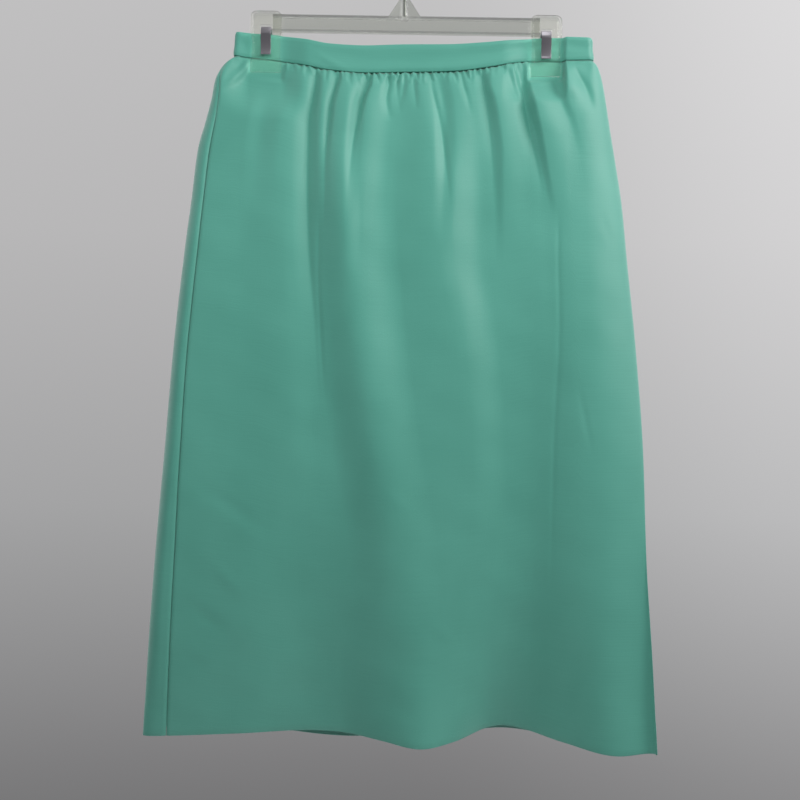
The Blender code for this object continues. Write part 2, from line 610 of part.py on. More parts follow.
def build_hook():
    """The steel hook: a straight shank, a bend to the side and an arc over the rail."""
    radius = HOOK_INSIDE + WIRE_RADIUS
    centre = -HOOK_INSIDE
    points = [(0.0, -SHANK_END), (0.0, -SHANK_STRAIGHT_TOP)]
    start = radians(HOOK_START)
    first = (radius * cos(start), centre + radius * sin(start))
    run_in = (first[0] + sin(start) * HOOK_RUN_IN, first[1] - cos(start) * HOOK_RUN_IN)
    for step in range(1, 10):
        part = step / 10
        weights = ((1 - part) ** 3, 3 * part * (1 - part) ** 2, 3 * part ** 2 * (1 - part), part ** 3)
        corners = (points[1], (0.0, -SHANK_STRAIGHT_TOP + SHANK_RUN_OUT), run_in, first)
        points.append(tuple(sum(weight * corner[axis] for weight, corner in zip(weights, corners))
                            for axis in (0, 1)))
    for step in range(31):
        angle = radians(HOOK_START + (HOOK_TIP - HOOK_START) * step / 30)
        points.append((radius * cos(angle), centre + radius * sin(angle)))
    wire = bpy.data.curves.new("hanger_hook", "CURVE")
    wire.dimensions = "3D"
    wire.bevel_depth = WIRE_RADIUS * MM
    wire.bevel_resolution = 2
    wire.use_fill_caps = True
    line = wire.splines.new("POLY")
    line.points.add(len(points) - 1)
    for point, (place, height) in zip(line.points, points):
        point.co = (place * MM, 0.0, height * MM, 1.0)
    add_object("hanger_hook", wire, skirt_parts, "steel")


def jaw_section(row, clip_place, way):
    """The jaw's outline at one height: a plate with a rib along each side."""
    inside = row.half_width - RIB_WIDTH
    outline = ((-row.half_width, row.inner), (-row.half_width, row.outer + row.rib),
               (-inside, row.outer + row.rib), (-inside + 0.3, row.outer),
               (inside - 0.3, row.outer), (inside, row.outer + row.rib),
               (row.half_width, row.outer + row.rib), (row.half_width, row.inner))
    return [Vector((clip_place + place, way * depth, -row.drop)) * MM for place, depth in outline]


def build_jaw(name, clip_place, way):
    """One jaw, lofted through its rows, with a window for the spring."""
    mesh = bmesh.new()
    loops = [[mesh.verts.new(point) for point in jaw_section(row, clip_place, way)]
             for row in JAW_ROWS]
    for upper, lower in zip(loops, loops[1:]):
        for i in range(len(upper)):
            j = (i + 1) % len(upper)
            mesh.faces.new((upper[i], upper[j], lower[j], lower[i]))
    mesh.faces.new(loops[0])
    mesh.faces.new(loops[-1])
    bmesh.ops.recalc_face_normals(mesh, faces=mesh.faces)
    jaw = add_object(name, mesh, skirt_parts, "clear_plastic")
    combine(jaw, "window", box(clip_place, way * WINDOW_DEPTH, (WINDOW_TOP + WINDOW_BOTTOM) / 2,
            WINDOW_HALF_WIDTH, WINDOW_HALF_DEPTH, (WINDOW_BOTTOM - WINDOW_TOP) / 2), "DIFFERENCE")


def build_spring(name, clip_place):
    """A flat steel staple: through both windows, with a leg that presses on each jaw."""
    leg = ((SPRING_END, 6.2), (SPRING_END - 2.5, 5.6), (102.0, 6.3), (93.5, 7.4),
           (91.2, 7.6), (SPRING_CROSS, 6.6))
    line = [(-depth, drop) for drop, depth in leg] + [(depth, drop) for drop, depth in reversed(leg)]
    mesh = bmesh.new()
    bmesh.ops.create_grid(mesh, x_segments=1, y_segments=len(line) - 1, size=0.5)
    for vertex in mesh.verts:
        depth, drop = line[round((vertex.co.y + 0.5) * (len(line) - 1))]
        across = vertex.co.x * 2 * SPRING_HALF_WIDTH
        vertex.co = Vector((clip_place + across, depth, -drop)) * MM
    spring = add_object(name, mesh, skirt_parts, "steel")
    thicken = spring.modifiers.new("wall", "SOLIDIFY")
    thicken.thickness = SPRING_WALL * MM
    thicken.offset = 1.0
    thicken.use_even_offset = True


def build_clips():
    for side, clip_place in CLIP_PLACES.items():
        build_jaw(f"clip_{side}_front_jaw", clip_place, -1)
        build_jaw(f"clip_{side}_back_jaw", clip_place, 1)
        build_spring(f"clip_{side}_spring", clip_place)


for thing in list(bpy.data.objects):
    bpy.data.objects.remove(thing)
skirt_parts = bpy.data.collections.new("a_line_skirt")
helper_parts = bpy.data.collections.new("helpers")
for group in (skirt_parts, helper_parts):
    bpy.context.scene.collection.children.link(group)
build_front()
build_backs()
build_band()
build_zip()
build_bar()
build_hook()
build_clips()
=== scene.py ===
"""The looks of an a-line skirt, gathered into its band and pinched in a clear clip hanger.

Sizes and places are in millimetres in the part's own frame. A "drop" is a height below the
hook's seat, a "place" runs across to the right, and a "depth" grows towards the back.
"""
from collections import namedtuple
from math import cos, pi, radians, sin, tan

import bmesh
import bpy
import numpy as np
from mathutils import Matrix, Vector


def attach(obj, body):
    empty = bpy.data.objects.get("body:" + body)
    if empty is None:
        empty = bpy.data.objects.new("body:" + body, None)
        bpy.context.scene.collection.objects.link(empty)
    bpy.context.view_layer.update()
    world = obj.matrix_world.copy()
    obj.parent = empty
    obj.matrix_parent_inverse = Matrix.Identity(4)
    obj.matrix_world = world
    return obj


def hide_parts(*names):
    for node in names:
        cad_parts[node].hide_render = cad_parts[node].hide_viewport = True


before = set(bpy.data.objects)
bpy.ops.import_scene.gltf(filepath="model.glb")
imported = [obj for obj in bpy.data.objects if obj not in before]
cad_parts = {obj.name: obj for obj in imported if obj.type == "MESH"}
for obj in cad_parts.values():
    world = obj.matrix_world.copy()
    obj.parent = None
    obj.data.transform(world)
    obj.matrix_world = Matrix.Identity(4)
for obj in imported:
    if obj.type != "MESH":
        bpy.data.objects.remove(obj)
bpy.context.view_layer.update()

MM = 0.001

# ---------------------------------------------------------------- cloth sizes
PANEL_SHELL = 0.8       # thickness of one layer of the skirt's cloth
HEM_SHELL = 1.5         # and where the hem is turned up
HEM_TURN = 30.0         # height of the turned-up hem
HEM_PUFF = 0.25         # the turned-up cloth stands out by this much
HEM_STEP = 1.5          # height over which it does
BAND_SHELL = 2.0        # the band is four layers, pressed
BAND_STEP = 0.5         # its face stands this far proud of the panels
BAND_TOP = 94.0         # level of the band's top edge at the side seams
BAND_SEAM = 118.0       # level of the gathered seam under the band
SEAM_GAP = 0.3
SAG_FADE = 150.0        # the band's sag dies out over this height below it
HEM_START = 480.0       # the hem's unevenness starts here
HEM = 785.0             # level of the hem at the side folds
ROUND = 2.0             # stations once round the skirt: 0 to 1 over the front, 1 to 2 back
TURN = 0.06             # share of a face's stations that goes round each side fold
SEAM_DIP = 0.9          # a pressed seam's edges roll in by this much
SEAM_ROLL = 3.2         # over this width
GATHER_DIP = 1.1        # the gathered edge lies this deep under the band's edge
GATHER_ROLL = 2.2
ROLL_POWER = 1.5        # how sharply a rolled edge ends
BAND_ROLL = 0.5         # the band's edges roll back by this much
BAND_ROLL_WIDTH = 2.8

# One row for each level: the side folds, the depth of each face and of each side fold, how far
# in from its side fold a face goes on turning, the side seams' distance round from their fold
# (to the front on the left, to the back on the right), and the centre-back seam.
Section = namedtuple("Section", "level left right front back edge_left edge_right "
                                "turn_left turn_right seam_side seam_back")
SECTIONS = [Section(*row) for row in (
    (94, -164.5, 183.6, -6.5, 7.0, 0, 0, 6, 6, 0.3, 10),
    (118, -166.5, 185.6, -7.5, 7.0, 0, 0, 6, 6, 0.3, 10),
    (124, -173.0, 189.5, -9.0, 9.0, 0, 0, 7, 8, 0.8, 10),
    (132, -179.0, 192.5, -11.0, 11.5, 0, 0, 9, 13, 2.0, 10),
    (142, -183.8, 195.0, -13.0, 14.0, 0, 0, 10, 17, 5.0, 10),
    (160, -187.0, 198.3, -15.5, 16.5, 0, 0, 11, 23, 8.0, 10),
    (185, -193.0, 202.5, -17.5, 19.0, 0, 0, 12, 29, 11.5, 9),
    (210, -199.5, 207.0, -19.0, 21.0, 0, 0, 12, 34, 14.0, 8),
    (260, -205.0, 215.0, -22.0, 25.0, 0, -2, 13, 38, 14.5, 6),
    (310, -211.0, 220.0, -24.0, 29.0, 1, -5, 13, 40, 16.0, 3),
    (400, -220.0, 229.3, -25.0, 34.0, 2, -11, 13, 43, 17.0, -3),
    (500, -227.5, 236.6, -22.0, 39.0, 3, -19, 14, 46, 18.5, -10),
    (600, -235.5, 239.8, -16.0, 43.0, 5, -27, 14, 48, 21.5, -18),
    (700, -242.0, 246.0, -7.0, 47.0, 7, -34, 15, 50, 23.0, -27),
    (785, -246.0, 251.0, 3.0, 50.0, 8, -38, 16, 52, 23.5, -34),
)]

# The band sags between the clips: the drop of its two edges along its front.
BandPoint = namedtuple("BandPoint", "place top bottom")
BAND_EDGES = [BandPoint(*row) for row in (
    (-166, 94.2, 117.8),
    (-149, 95.4, 119.8),
    (-119, 97.8, 122.9),
    (-95, 101.2, 127.2),
    (-72, 105.2, 131.4),
    (-40, 106.5, 133.8),
    (0, 104.9, 132.8),
    (45, 104.0, 131.2),
    (85, 101.0, 125.9),
    (120, 97.2, 119.4),
    (155, 95.2, 118.6),
    (185, 95.6, 117.5),
)]
BACK_SAG = 3.0          # the back of the band hangs this much lower between the clips

# The pressed band has soft hollows and swellings of its own: their middle, their reach across
# and down, and how their line leans (levels per place).
BandFold = namedtuple("BandFold", "place level across down lean rise")
BAND_FOLDS = [BandFold(*row) for row in (
    (108, 104, 60, 8, -0.05, -1.1),
    (52, 106, 66, 9, -0.03, -0.9),
    (-10, 107, 60, 9, 0.0, -0.7),
    (-58, 104, 40, 9, 0.05, -0.6),
    (-68, 112, 26, 6, 0.35, 0.5),
    (168, 104, 30, 8, 0.10, -0.9),
    (-157, 106, 12, 8, 0.0, -0.6),
    (30, 114, 120, 5, 0.0, 0.4),
)]

# The hem isn't level: how much lower than at the side folds it hangs on each face.
HemPoint = namedtuple("HemPoint", "place front back")
HEM_EDGES = [HemPoint(*row) for row in (
    (-246, 0.0, 0.0),
    (-205, -1.5, 3.0),
    (-140, -4.5, 4.0),
    (-70, -6.0, 5.0),
    (-10, -3.0, 5.0),
    (26, 1.0, 5.0),
    (60, -3.5, 4.0),
    (108, -12.0, 1.0),
    (165, -3.5, 4.0),
    (214, 2.5, 4.0),
    (251, 0.0, 0.0),
)]

FOLD_RUN_IN = 8.0       # a fold grows to its first rise over this height
SEAM_HOLD = 0.4         # share of a fold's rise that is left right at the band's seam
SEAM_RELEASE = 10.0     # the folds are whole this far below the seam

# A fold runs through the points of its route, each (drop, place across, rise), where a positive
# rise stands out of the cloth's face and a negative one is a trough. It reaches further to one
# side than to the other, and a sharp one has a crease for its middle line. The names are labels.
Fold = namedtuple("Fold", "name left right route")


def fold(name, left, right, *route):
    return Fold(name, left, right, route)


FRONT_FOLDS = (
    fold("left of the left clip, trough", 6, 6, (122, -154, -2), (130, -158, -3), (141, -163, 0)),
    fold("left of the left clip", 8, 8, (122, -150, 2), (136, -160, 3.5), (152, -171, 0)),
    fold("right of the left clip, trough", 16, 20,
         (127, -120, -1), (160, -130, -2.5), (199, -137, -2), (270, -139, 0)),
    fold("left field", 45, 26,
         (128, -113, 2), (209, -115, 3.2), (316, -113, 2.6), (453, -106, 1.8), (560, -98, 0)),
    fold("gather 1", 9, 9, (132, -78, 1.5), (189, -79, 2), (243, -78, 1.5), (290, -77, 0)),
    fold("gather 2", 33, 17,
         (130, -51, 3.5), (169, -55, 7), (228, -57, 7.5), (285, -55, 4), (340, -53, 0)),
    fold("gather 3", 12, 26, (135, -29, 3.5), (173, -35, 5.5), (222, -39, 4.5), (300, -42, 0)),
    fold("middle ridge", 42, 46,
         (195, -52, 0), (306, -47, 11), (403, -36, 10.5), (501, -21, 8), (608, -4, 4.5), (700, 0, 0)),
    fold("gather 4", 38, 14,
         (134, 20, 3), (158, 26, 4), (187, 29, 4), (226, 29, 3), (300, 27, 0)),
    fold("gather 5", 14, 28,
         (136, 46, 3), (167, 51, 3.5), (206, 53, 3.5), (250, 52, 2.5), (310, 50, 0)),
    fold("right ridge", 80, 42,
         (170, 34, 0), (250, 34, 6), (310, 36, 7), (403, 54, 5), (480, 60, 3), (580, 62, 0)),
    fold("gather 6", 9, 26, (131, 85, 3), (146, 86, 4.5), (160, 90, 5), (180, 94, 4.5),
         (215, 98, 3.5), (320, 100, 0)),
    fold("gather 7", 6, 5, (123, 105, 2), (134, 108, 3.2), (146, 111, 2.5), (162, 116, 0)),
    fold("right clip", 7, 34, (123, 123, 4), (144, 124, 8), (158, 126.5, 9), (178, 131, 8.5),
         (200, 136, 5.5), (230, 142, 3), (270, 150, 0)),
    fold("right shoulder", 30, 48,
         (140, 156, 0), (200, 158, 2.5), (300, 166, 2.8), (400, 172, 1.8), (560, 180, 0)),
    fold("right field, trough", 34, 66,
         (190, 80, 0), (290, 82, -3.5), (400, 97, -3.5), (500, 106, -4), (640, 110, 0)),
    fold("right of the right clip", 9, 24,
         (119, 155, 2), (134, 155, 6), (146, 157, 7), (160, 160, 4), (180, 168, 1.5), (215, 178, 0)),
    fold("hem, left trough", 75, 70, (420, -65, 0), (620, -76, -6), (790, -82, -12)),
    fold("hem, middle ridge", 80, 72, (330, 12, 0), (590, 20, 8), (700, 24, 17), (790, 26, 30)),
    fold("hem, right trough", 50, 55, (420, 124, 0), (600, 118, -4), (700, 112, -9), (790, 106, -20)),
    fold("hem, right ridge", 80, 80, (300, 196, 0), (590, 206, 14), (700, 210, 24), (790, 214, 38)),
)
BACK_FOLDS = (
    fold("gather 1, trough", 9, 9, (124, -152, -2), (150, -160, -3), (190, -167, 0)),
    fold("gather 2", 13, 13, (122, -104, 2), (180, -112, 4), (330, -118, 0)),
    fold("gather 2, trough", 10, 10, (124, -86, -3), (190, -92, -5), (300, -94, 0)),
    fold("gather 3", 13, 13, (126, -70, 2), (200, -72, 4), (380, -66, 0)),
    fold("gather 3, trough", 9, 9, (128, -50, -3), (176, -52, -4), (240, -50, 0)),
    fold("gather 4", 11, 11, (126, -33, 2), (210, -34, 3.5), (300, -38, 0)),
    fold("gather 5", 10, 10, (126, 38, 2), (190, 42, 3.5), (280, 44, 0)),
    fold("gather 5, trough", 10, 10, (126, 53, -3), (184, 59, -5), (320, 64, 0)),
    fold("gather 6", 14, 14, (126, 70, 2), (220, 78, 4.5), (420, 90, 0)),
    fold("gather 6, trough", 9, 9, (124, 91, -3), (170, 98, -4), (240, 104, 0)),
    fold("gather 7", 12, 12, (122, 108, 1), (190, 118, 4), (300, 126, 0)),
    fold("gather 8, trough", 9, 9, (122, 166, -2), (150, 174, -3), (200, 180, 0)),
    fold("hem, left ridge", 70, 70, (380, -128, 0), (600, -138, 8), (790, -146, 15)),
    fold("hem, middle trough", 62, 62, (360, -24, 0), (600, -34, -6), (790, -42, -11)),
    fold("hem, right ridge", 70, 70, (280, 100, 0), (560, 108, 9), (790, 114, 17)),
    fold("hem, right trough", 40, 40, (420, 178, 0), (600, 184, -5), (790, 190, -9)),
)

# The sharp lines where two folds meet, and the long creases below them.
FRONT_LINES = (
    fold("left field's edge", 16, 9, (124, -84, -3), (142, -85, -5), (158, -87, -5.5),
         (185, -91, -5), (228, -91, -4), (296, -89, -3.5), (384, -81, -1.5), (460, -76, 0)),
    fold("gather 2's edge", 9, 6, (128, -63, -4), (144, -65, -5.5), (169, -70, -4.5),
         (228, -74, -2), (290, -74, 0)),
    fold("gather 2, short", 6, 4, (126, -53, -2), (138, -52, -2), (150, -50, 0)),
    fold("gather 3's edge", 12, 5, (130, -31, -4), (144, -33, -6), (158, -38, -6),
         (178, -43, -3), (208, -48, -2), (250, -51, 0)),
    fold("gather 3, right", 9, 6, (130, -16, -3), (144, -14, -4), (160, -16, -2.5), (182, -12, 0)),
    fold("star, left", 8, 5, (134, -12, -1), (146, -6, -2), (160, -5, -1), (176, -2, 0)),
    fold("star, middle", 6, 6, (134, 2, -1.5), (150, 0, -1.8), (168, -3, 0)),
    fold("star, right", 8, 5, (134, 9, -1.5), (150, 11, -1.8), (172, 13, 0)),
    fold("gather 5's edge", 14, 6,
         (136, 26, -1.5), (158, 30, -2.6), (178, 35, -2.6), (207, 40, -2), (240, 44, -1), (270, 47, 0)),
    fold("gather 5, right", 7, 5, (130, 56, -2), (144, 58, -2.2), (158, 62, -1.2), (176, 66, 0)),
    fold("gather 6's edge", 12, 6,
         (128, 76, -2), (144, 78, -3), (160, 81, -3), (185, 84, -2.5), (230, 88, -1), (270, 90, 0)),
    fold("right clip's edge", 14, 6,
         (118, 112, -2), (144, 115, -4), (160, 118, -5), (188, 123, -4), (221, 130, -1.5),
         (255, 136, 0)),
    fold("right shoulder's edge", 16, 8,
         (124, 166, -0.5), (133, 170, -2), (144, 176, -2.5), (154, 180, -2), (170, 184, 0)),
    fold("long left line", 5, 5, (270, -79, 0), (320, -79, -1), (384, -76, -1), (453, -71, 0)),
    fold("long right line", 5, 5,
         (270, 151, 0), (300, 151, -0.8), (381, 153, -0.8), (498, 150, -0.7), (645, 150, 0)),
)
BACK_LINES = (
    fold("left line", 5, 5, (122, -95, -1), (160, -101, -2), (215, -105, 0)),
    fold("middle line", 5, 5, (124, -58, -1), (170, -60, -2), (230, -62, 0)),
    fold("right line", 5, 5, (124, 60, -1), (175, 66, -2), (240, 70, 0)),
    fold("far right line", 5, 5, (122, 98, -1), (160, 106, -2), (210, 112, 0)),
)

# Puckers along the gathered seam: where they start and end across, and their mean spacing.
PuckerRun = namedtuple("PuckerRun", "start end spacing rise length")
FRONT_PUCKERS = [PuckerRun(*row) for row in (
    (-116, -62, 5.4, 2.4, 9),
    (-62, 100, 4.6, 3.2, 9),
    (100, 122, 5.6, 2.2, 9),
    (-164, -150, 5.0, 0.6, 8),
)]
BACK_PUCKERS = [PuckerRun(*row) for row in (
    (-160, -12, 6.4, 0.9, 16),
    (32, 176, 6.0, 0.9, 16),
)]
PUCKER_SEED = 4

# Creases and press marks: straight from start to end, each (place, drop).
Crease = namedtuple("Crease", "start end rise reach")
FRONT_CREASES = [Crease(*row) for row in (
    ((-210, 524), (-104, 593), -0.9, 9),
    ((-184, 609), (-141, 646), 0.9, 7),
    ((-215, 643), (-150, 689), -0.9, 8),
    ((-214, 699), (-173, 722), -0.6, 7),
    ((-20, 535), (19, 563), 0.7, 7),
    ((25, 662), (64, 685), 0.8, 7),
    ((32, 652), (53, 629), -0.6, 6),
    ((67, 628), (110, 636), -0.6, 7),
    ((-7, 739), (27, 762), -0.5, 7),
    ((170, 428), (188, 508), -0.5, 5),
    ((190, 268), (206, 300), -0.6, 6),
)]
BACK_CREASES = [Crease(*row) for row in (
    ((-120, 498), (-62, 540), -0.8, 9),
    ((60, 590), (120, 560), 0.8, 8),
    ((-170, 640), (-110, 622), -0.8, 8),
    ((120, 690), (176, 716), -0.7, 8),
    ((30, 470), (74, 430), -0.6, 8),
)]

# Long soft waves that no cloth is without: wavelength, direction in degrees, height, phase.
Ripple = namedtuple("Ripple", "length heading height phase")
RIPPLES = [Ripple(*row) for row in (
    (150, 8, 0.35, 0.3),
    (97, -24, 0.28, 1.9),
    (64, 38, 0.20, 4.4),
    (43, -58, 0.12, 2.7),
)]

# ---------------------------------------------------------------- hanger sizes
CLIP_PLACES = {"left": -134.5, "right": 138.4}
PINCH_HALF_WIDTH = 15.8
# The cloth opens again over this width on the left and on the right of a jaw.
PINCH_EASES = {"left": (28.0, 28.0), "right": (28.0, 3.5)}
PINCH_LEVEL = 136.0     # the panels lie together down to here
PINCH_FADES = {"left": 44.0, "right": 27.0}     # and part over this height
RIDGE_HALF_WIDTH = 14.5 # a jaw holds ridges down over its own width only
RIDGE_EASES = {"left": (5.0, 5.0), "right": (5.0, 5.0)}
RIDGE_FREE = 134.0      # level where ridges are free of a clip
RIDGE_FADES = {"left": 7.0, "right": 7.0}
CLOSED_DEPTH = 1.65     # half the distance between the two faces inside a clip

BAR_TOP = 77.0
BAR_BOTTOM = 93.6
BAR_HALF_DEPTH = 4.0
BAR_END_TO_CLIP = 6.0
FLANGE = 2.2
WEB_HALF = 1.2
GUSSET_HALF_BASE = 16.5
GUSSET_HALF_TOP = 3.0
GUSSET_TOP = 57.0
GUSSET_HALF = 1.5       # half its thickness
BOSS_RADIUS = 4.2
BOSS_TOP = 54.0
BOSS_BOTTOM = 81.0
SHANK_END = 76.0

WIRE_RADIUS = 1.6
HOOK_INSIDE = 19.0      # radius of the hook's inside
HOOK_TIP = 205.0        # angle where the wire ends, from +X over the top, degrees
HOOK_START = -48.0      # angle where the arc meets the shank's bend, degrees
HOOK_RUN_IN = 12.0      # the bend's pull along the arc and along the shank
SHANK_RUN_OUT = 8.0
SHANK_STRAIGHT_TOP = 50.0

# One row for each height of a clip's jaw: half its width, its two faces' distances from the
# middle plane, and how far the ribs along its sides stand out.
JawRow = namedtuple("JawRow", "drop half_width inner outer rib")
JAW_ROWS = [JawRow(*row) for row in (
    (74.6, 8.0, 4.9, 5.9, 0.0),
    (74.9, 10.4, 4.5, 6.3, 0.0),
    (76.0, 12.8, 4.3, 6.6, 0.2),
    (78.0, 14.4, 4.3, 6.8, 0.8),
    (80.5, 15.0, 4.3, 6.9, 1.1),
    (95.4, 15.0, 4.3, 6.6, 1.1),
    (96.4, 14.8, 4.1, 6.3, 1.1),
    (98.2, 13.7, 2.9, 5.5, 1.1),
    (99.2, 13.6, 2.8, 5.4, 1.1),
    (120.6, 13.6, 2.5, 4.7, 1.1),
    (121.4, 13.9, 2.5, 4.8, 1.1),
    (122.8, 14.9, 2.5, 4.9, 1.1),
    (123.6, 15.0, 2.4, 4.9, 1.1),
    (124.4, 15.0, 1.95, 4.9, 1.1),
    (130.2, 15.0, 1.95, 4.7, 1.0),
    (131.0, 15.0, 1.95, 4.1, 1.0),
    (131.8, 15.0, 2.0, 4.7, 0.6),
    (133.2, 14.9, 2.2, 4.3, 0.2),
    (134.0, 14.5, 2.7, 3.7, 0.0),
)]
RIB_WIDTH = 2.0
RIB_FOOT = 0.4          # and how much wider a rib is where it starts
WINDOW_HALF_WIDTH = 5.4
WINDOW_TOP = 88.4
WINDOW_BOTTOM = 93.0
WINDOW_DEPTHS = (2.0, 10.0)     # the cut passes the jaw's wall on both sides
SPRING_HALF_WIDTH = 4.9
SPRING_WALL = 0.8
# The spring's leg from its lip up to the window: (distance from the middle plane, drop).
SPRING_LEG = ((7.9, 117.2), (7.0, 116.6), (6.1, 115.2), (5.8, 113.0), (6.4, 107.0),
              (8.0, 98.2), (8.3, 96.8), (8.1, 95.6), (6.0, 91.6), (5.4, 90.6), (4.4, 90.0))

TAPE_TOP = 95.5
TAPE_END = 318.0
TAPE_HALF_WIDTH = 11.0
TAPE_SHELL = 0.8
TAPE_DEPTH = 1.8        # the tape lies this far behind the panels' faces
TOOTH_PITCH = 1.4
TOOTH_SIZE = (1.15, 0.5, 0.42)     # half its width, depth and height
TOOTH_PLACE = 0.85      # from the zip's middle
TOOTH_DEPTH = 1.35      # behind the panels' faces
TEETH_TOP = 117.0
TEETH_END = 300.0
ZIP_HALF_SLIT = 2.4     # the backs stand this far apart from the zip's middle
ZIP_END = 292.0         # and come together below this level
ZIP_CLOSE = 20.0

# The slider: right halves of outlines as (across, height over the pull's pivot), and depths from
# the pivot. The plate lies on the band's back, and two ears hold the pull's pin.
PULL_PIVOT = (10.0, 11.4, -112.0)
PLATE_HALF = ((2.376, 4.4), (3.3, 1.32), (2.64, -4.4))
NECK_HALF = ((2.1, 3.6), (2.1, -3.6))
PLATE_DEPTHS = (-3.1, -1.9)
NECK_DEPTHS = (-5.0, -2.6)
EAR_HALF = ((1.5, -2.6), (1.2, 1.1))        # (height, depth)
EAR_INNER = 1.9
EAR_OUTER = 2.8
PIN_RADIUS = 0.6
PIN_HALF = 2.44
EYE_RADIUS = 1.6
EYE_HALF = 1.6
EYE_HOLE_RADIUS = 0.9
PULL_HALF = ((1.5, -0.6), (1.5, -2.8), (2.4, -4.2), (2.4, -17.0))
PULL_DEPTHS = (-0.5, 0.5)


# ---------------------------------------------------------------- helpers
def ease(amount):
    """0 below 0, 1 above 1, smooth between."""
    amount = np.clip(amount, 0.0, 1.0)
    return amount * amount * (3.0 - 2.0 * amount)


def swell(offset):
    """1 in a fold's middle, 0 beyond its reach."""
    return 0.5 + 0.5 * np.cos(pi * np.clip(offset, -1.0, 1.0))


def cusp(offset):
    """The same with a crease in the middle."""
    return (1.0 - np.minimum(np.abs(offset), 1.0)) ** 2


def smooth_through(at, places, values):
    """A smooth curve through (places, values) that never overshoots a row."""
    places = np.asarray(places, float)
    values = np.asarray(values, float)
    steps = np.diff(places)
    slopes = np.diff(values) / steps
    before, after = slopes[:-1], slopes[1:]
    same_way = before * after > 0
    total = np.where(same_way, before + after, 1.0)
    inner = np.where(same_way, 2.0 * before * after / total, 0.0)
    tangents = np.concatenate((slopes[:1], inner, slopes[-1:]))
    at = np.clip(at, places[0], places[-1])
    row = np.clip(np.searchsorted(places, at, side="right") - 1, 0, len(steps) - 1)
    part = (at - places[row]) / steps[row]
    step = steps[row]
    return (values[row] * (1.0 + 2.0 * part) * (1.0 - part) ** 2
            + step * tangents[row] * part * (1.0 - part) ** 2
            + values[row + 1] * part ** 2 * (3.0 - 2.0 * part)
            + step * tangents[row + 1] * part ** 2 * (part - 1.0))


def column(name, at, rows):
    """One column of a table, at any value of its first column."""
    return smooth_through(at, [row[0] for row in rows], [getattr(row, name) for row in rows])


def section(name, level):
    return column(name, level, SECTIONS)


# ---------------------------------------------------------------- the skirt's form
def pinch(place, level=BAND_TOP, half_width=PINCH_HALF_WIDTH, eases=PINCH_EASES,
          free=PINCH_LEVEL, fades=PINCH_FADES):
    """1 where the clips press the cloth together, 0 away from them."""
    held = 0.0
    for side, clip_place in CLIP_PLACES.items():
        beyond = np.abs(place - clip_place) - half_width
        width = np.where(place < clip_place, *eases[side])
        fade = 1.0 - ease((level - free) / fades[side])
        held = np.maximum(held, (1.0 - ease(beyond / width)) * fade)
    return held


def fold_rise(folds, place, drop, held_long, held_short, profile):
    """How far the folds move the face out. A clip holds back troughs for longer than ridges."""
    rise = np.zeros_like(place)
    for each in folds:
        drops, places, rises = zip(*each.route)
        offset = place - smooth_through(drop, drops, places)
        offset = offset / np.where(offset < 0, each.left, each.right)
        grown = ease((drop - drops[0]) / FOLD_RUN_IN + 1.0)
        height = smooth_through(drop, drops, rises) * grown
        height = np.where(height < 0, height * (1.0 - held_long), height * (1.0 - held_short))
        rise = rise + height * profile(offset)
    return rise


def pucker_folds(runs, bottom_edge):
    """Short uneven folds under the band: soft ridges, and the sharp troughs between them."""
    chance = np.random.default_rng(PUCKER_SEED)
    ridges, troughs = [], []
    for run in runs:
        place = run.start
        while place < run.end:
            start = float(bottom_edge(place))
            for folds, way, shift in ((troughs, -1.0, 0.0), (ridges, 0.6, 0.5)):
                length = run.length * chance.uniform(0.35, 1.7)
                lean = chance.uniform(-3.0, 3.0)
                rise = way * run.rise * chance.uniform(0.35, 1.4)
                reach = run.spacing * chance.uniform(0.40, 0.75)
                at = place + shift * run.spacing
                folds.append(fold("pucker", reach, reach, (start, at, rise),
                                  (start + length * 0.4, at + lean * 0.5, rise * 0.7),
                                  (start + length, at + lean, 0)))
            place += run.spacing * chance.uniform(0.6, 1.6)
    return ridges, troughs


def crease_rise(creases, place, drop):
    """Straight creases that fade out at both ends."""
    rise = np.zeros_like(place)
    for crease in creases:
        run = np.subtract(crease.end, crease.start).astype(float)
        length = np.hypot(*run)
        run = run / length
        from_start = np.stack((place - crease.start[0], drop - crease.start[1]), axis=-1)
        along_it = from_start @ run
        beside_it = from_start @ np.array((-run[1], run[0]))
        part = np.clip(2.0 * along_it / length - 1.0, -1.0, 1.0)
        rise = rise + crease.rise * swell(part) * swell(beside_it / crease.reach)
    return rise


def ripple_rise(place, drop, side):
    """The cloth's long soft waves."""
    rise = np.zeros_like(place)
    for ripple in RIPPLES:
        heading = radians(ripple.heading)
        travel = (place * cos(heading) + drop * sin(heading)) * 2.0 * pi / ripple.length
        rise = rise + ripple.height * np.sin(travel + ripple.phase + side)
    return rise


def face_drop(place, level, lens, on_front):
    """The real drop of a level: it follows the sagging band and the hem's uneven edge."""
    sag_top = column("top", place, BAND_EDGES) - BAND_TOP
    sag_bottom = column("bottom", place, BAND_EDGES) - BAND_SEAM
    between = 1.0 - pinch(place)
    sag_back = np.where(on_front, 0.0, BACK_SAG * between * lens)
    in_band = np.clip((level - BAND_TOP) / (BAND_SEAM - BAND_TOP), 0.0, 1.0)
    below = 1.0 - ease((level - BAND_SEAM) / SAG_FADE)
    sag = (sag_top + (sag_bottom - sag_top) * in_band + sag_back) * below
    hem_part = ease((level - HEM_START) / (HEM - HEM_START))
    hem_shift = np.where(on_front, *(column(face, place, HEM_EDGES) for face in ("front", "back")))
    return level + sag + hem_shift * hem_part


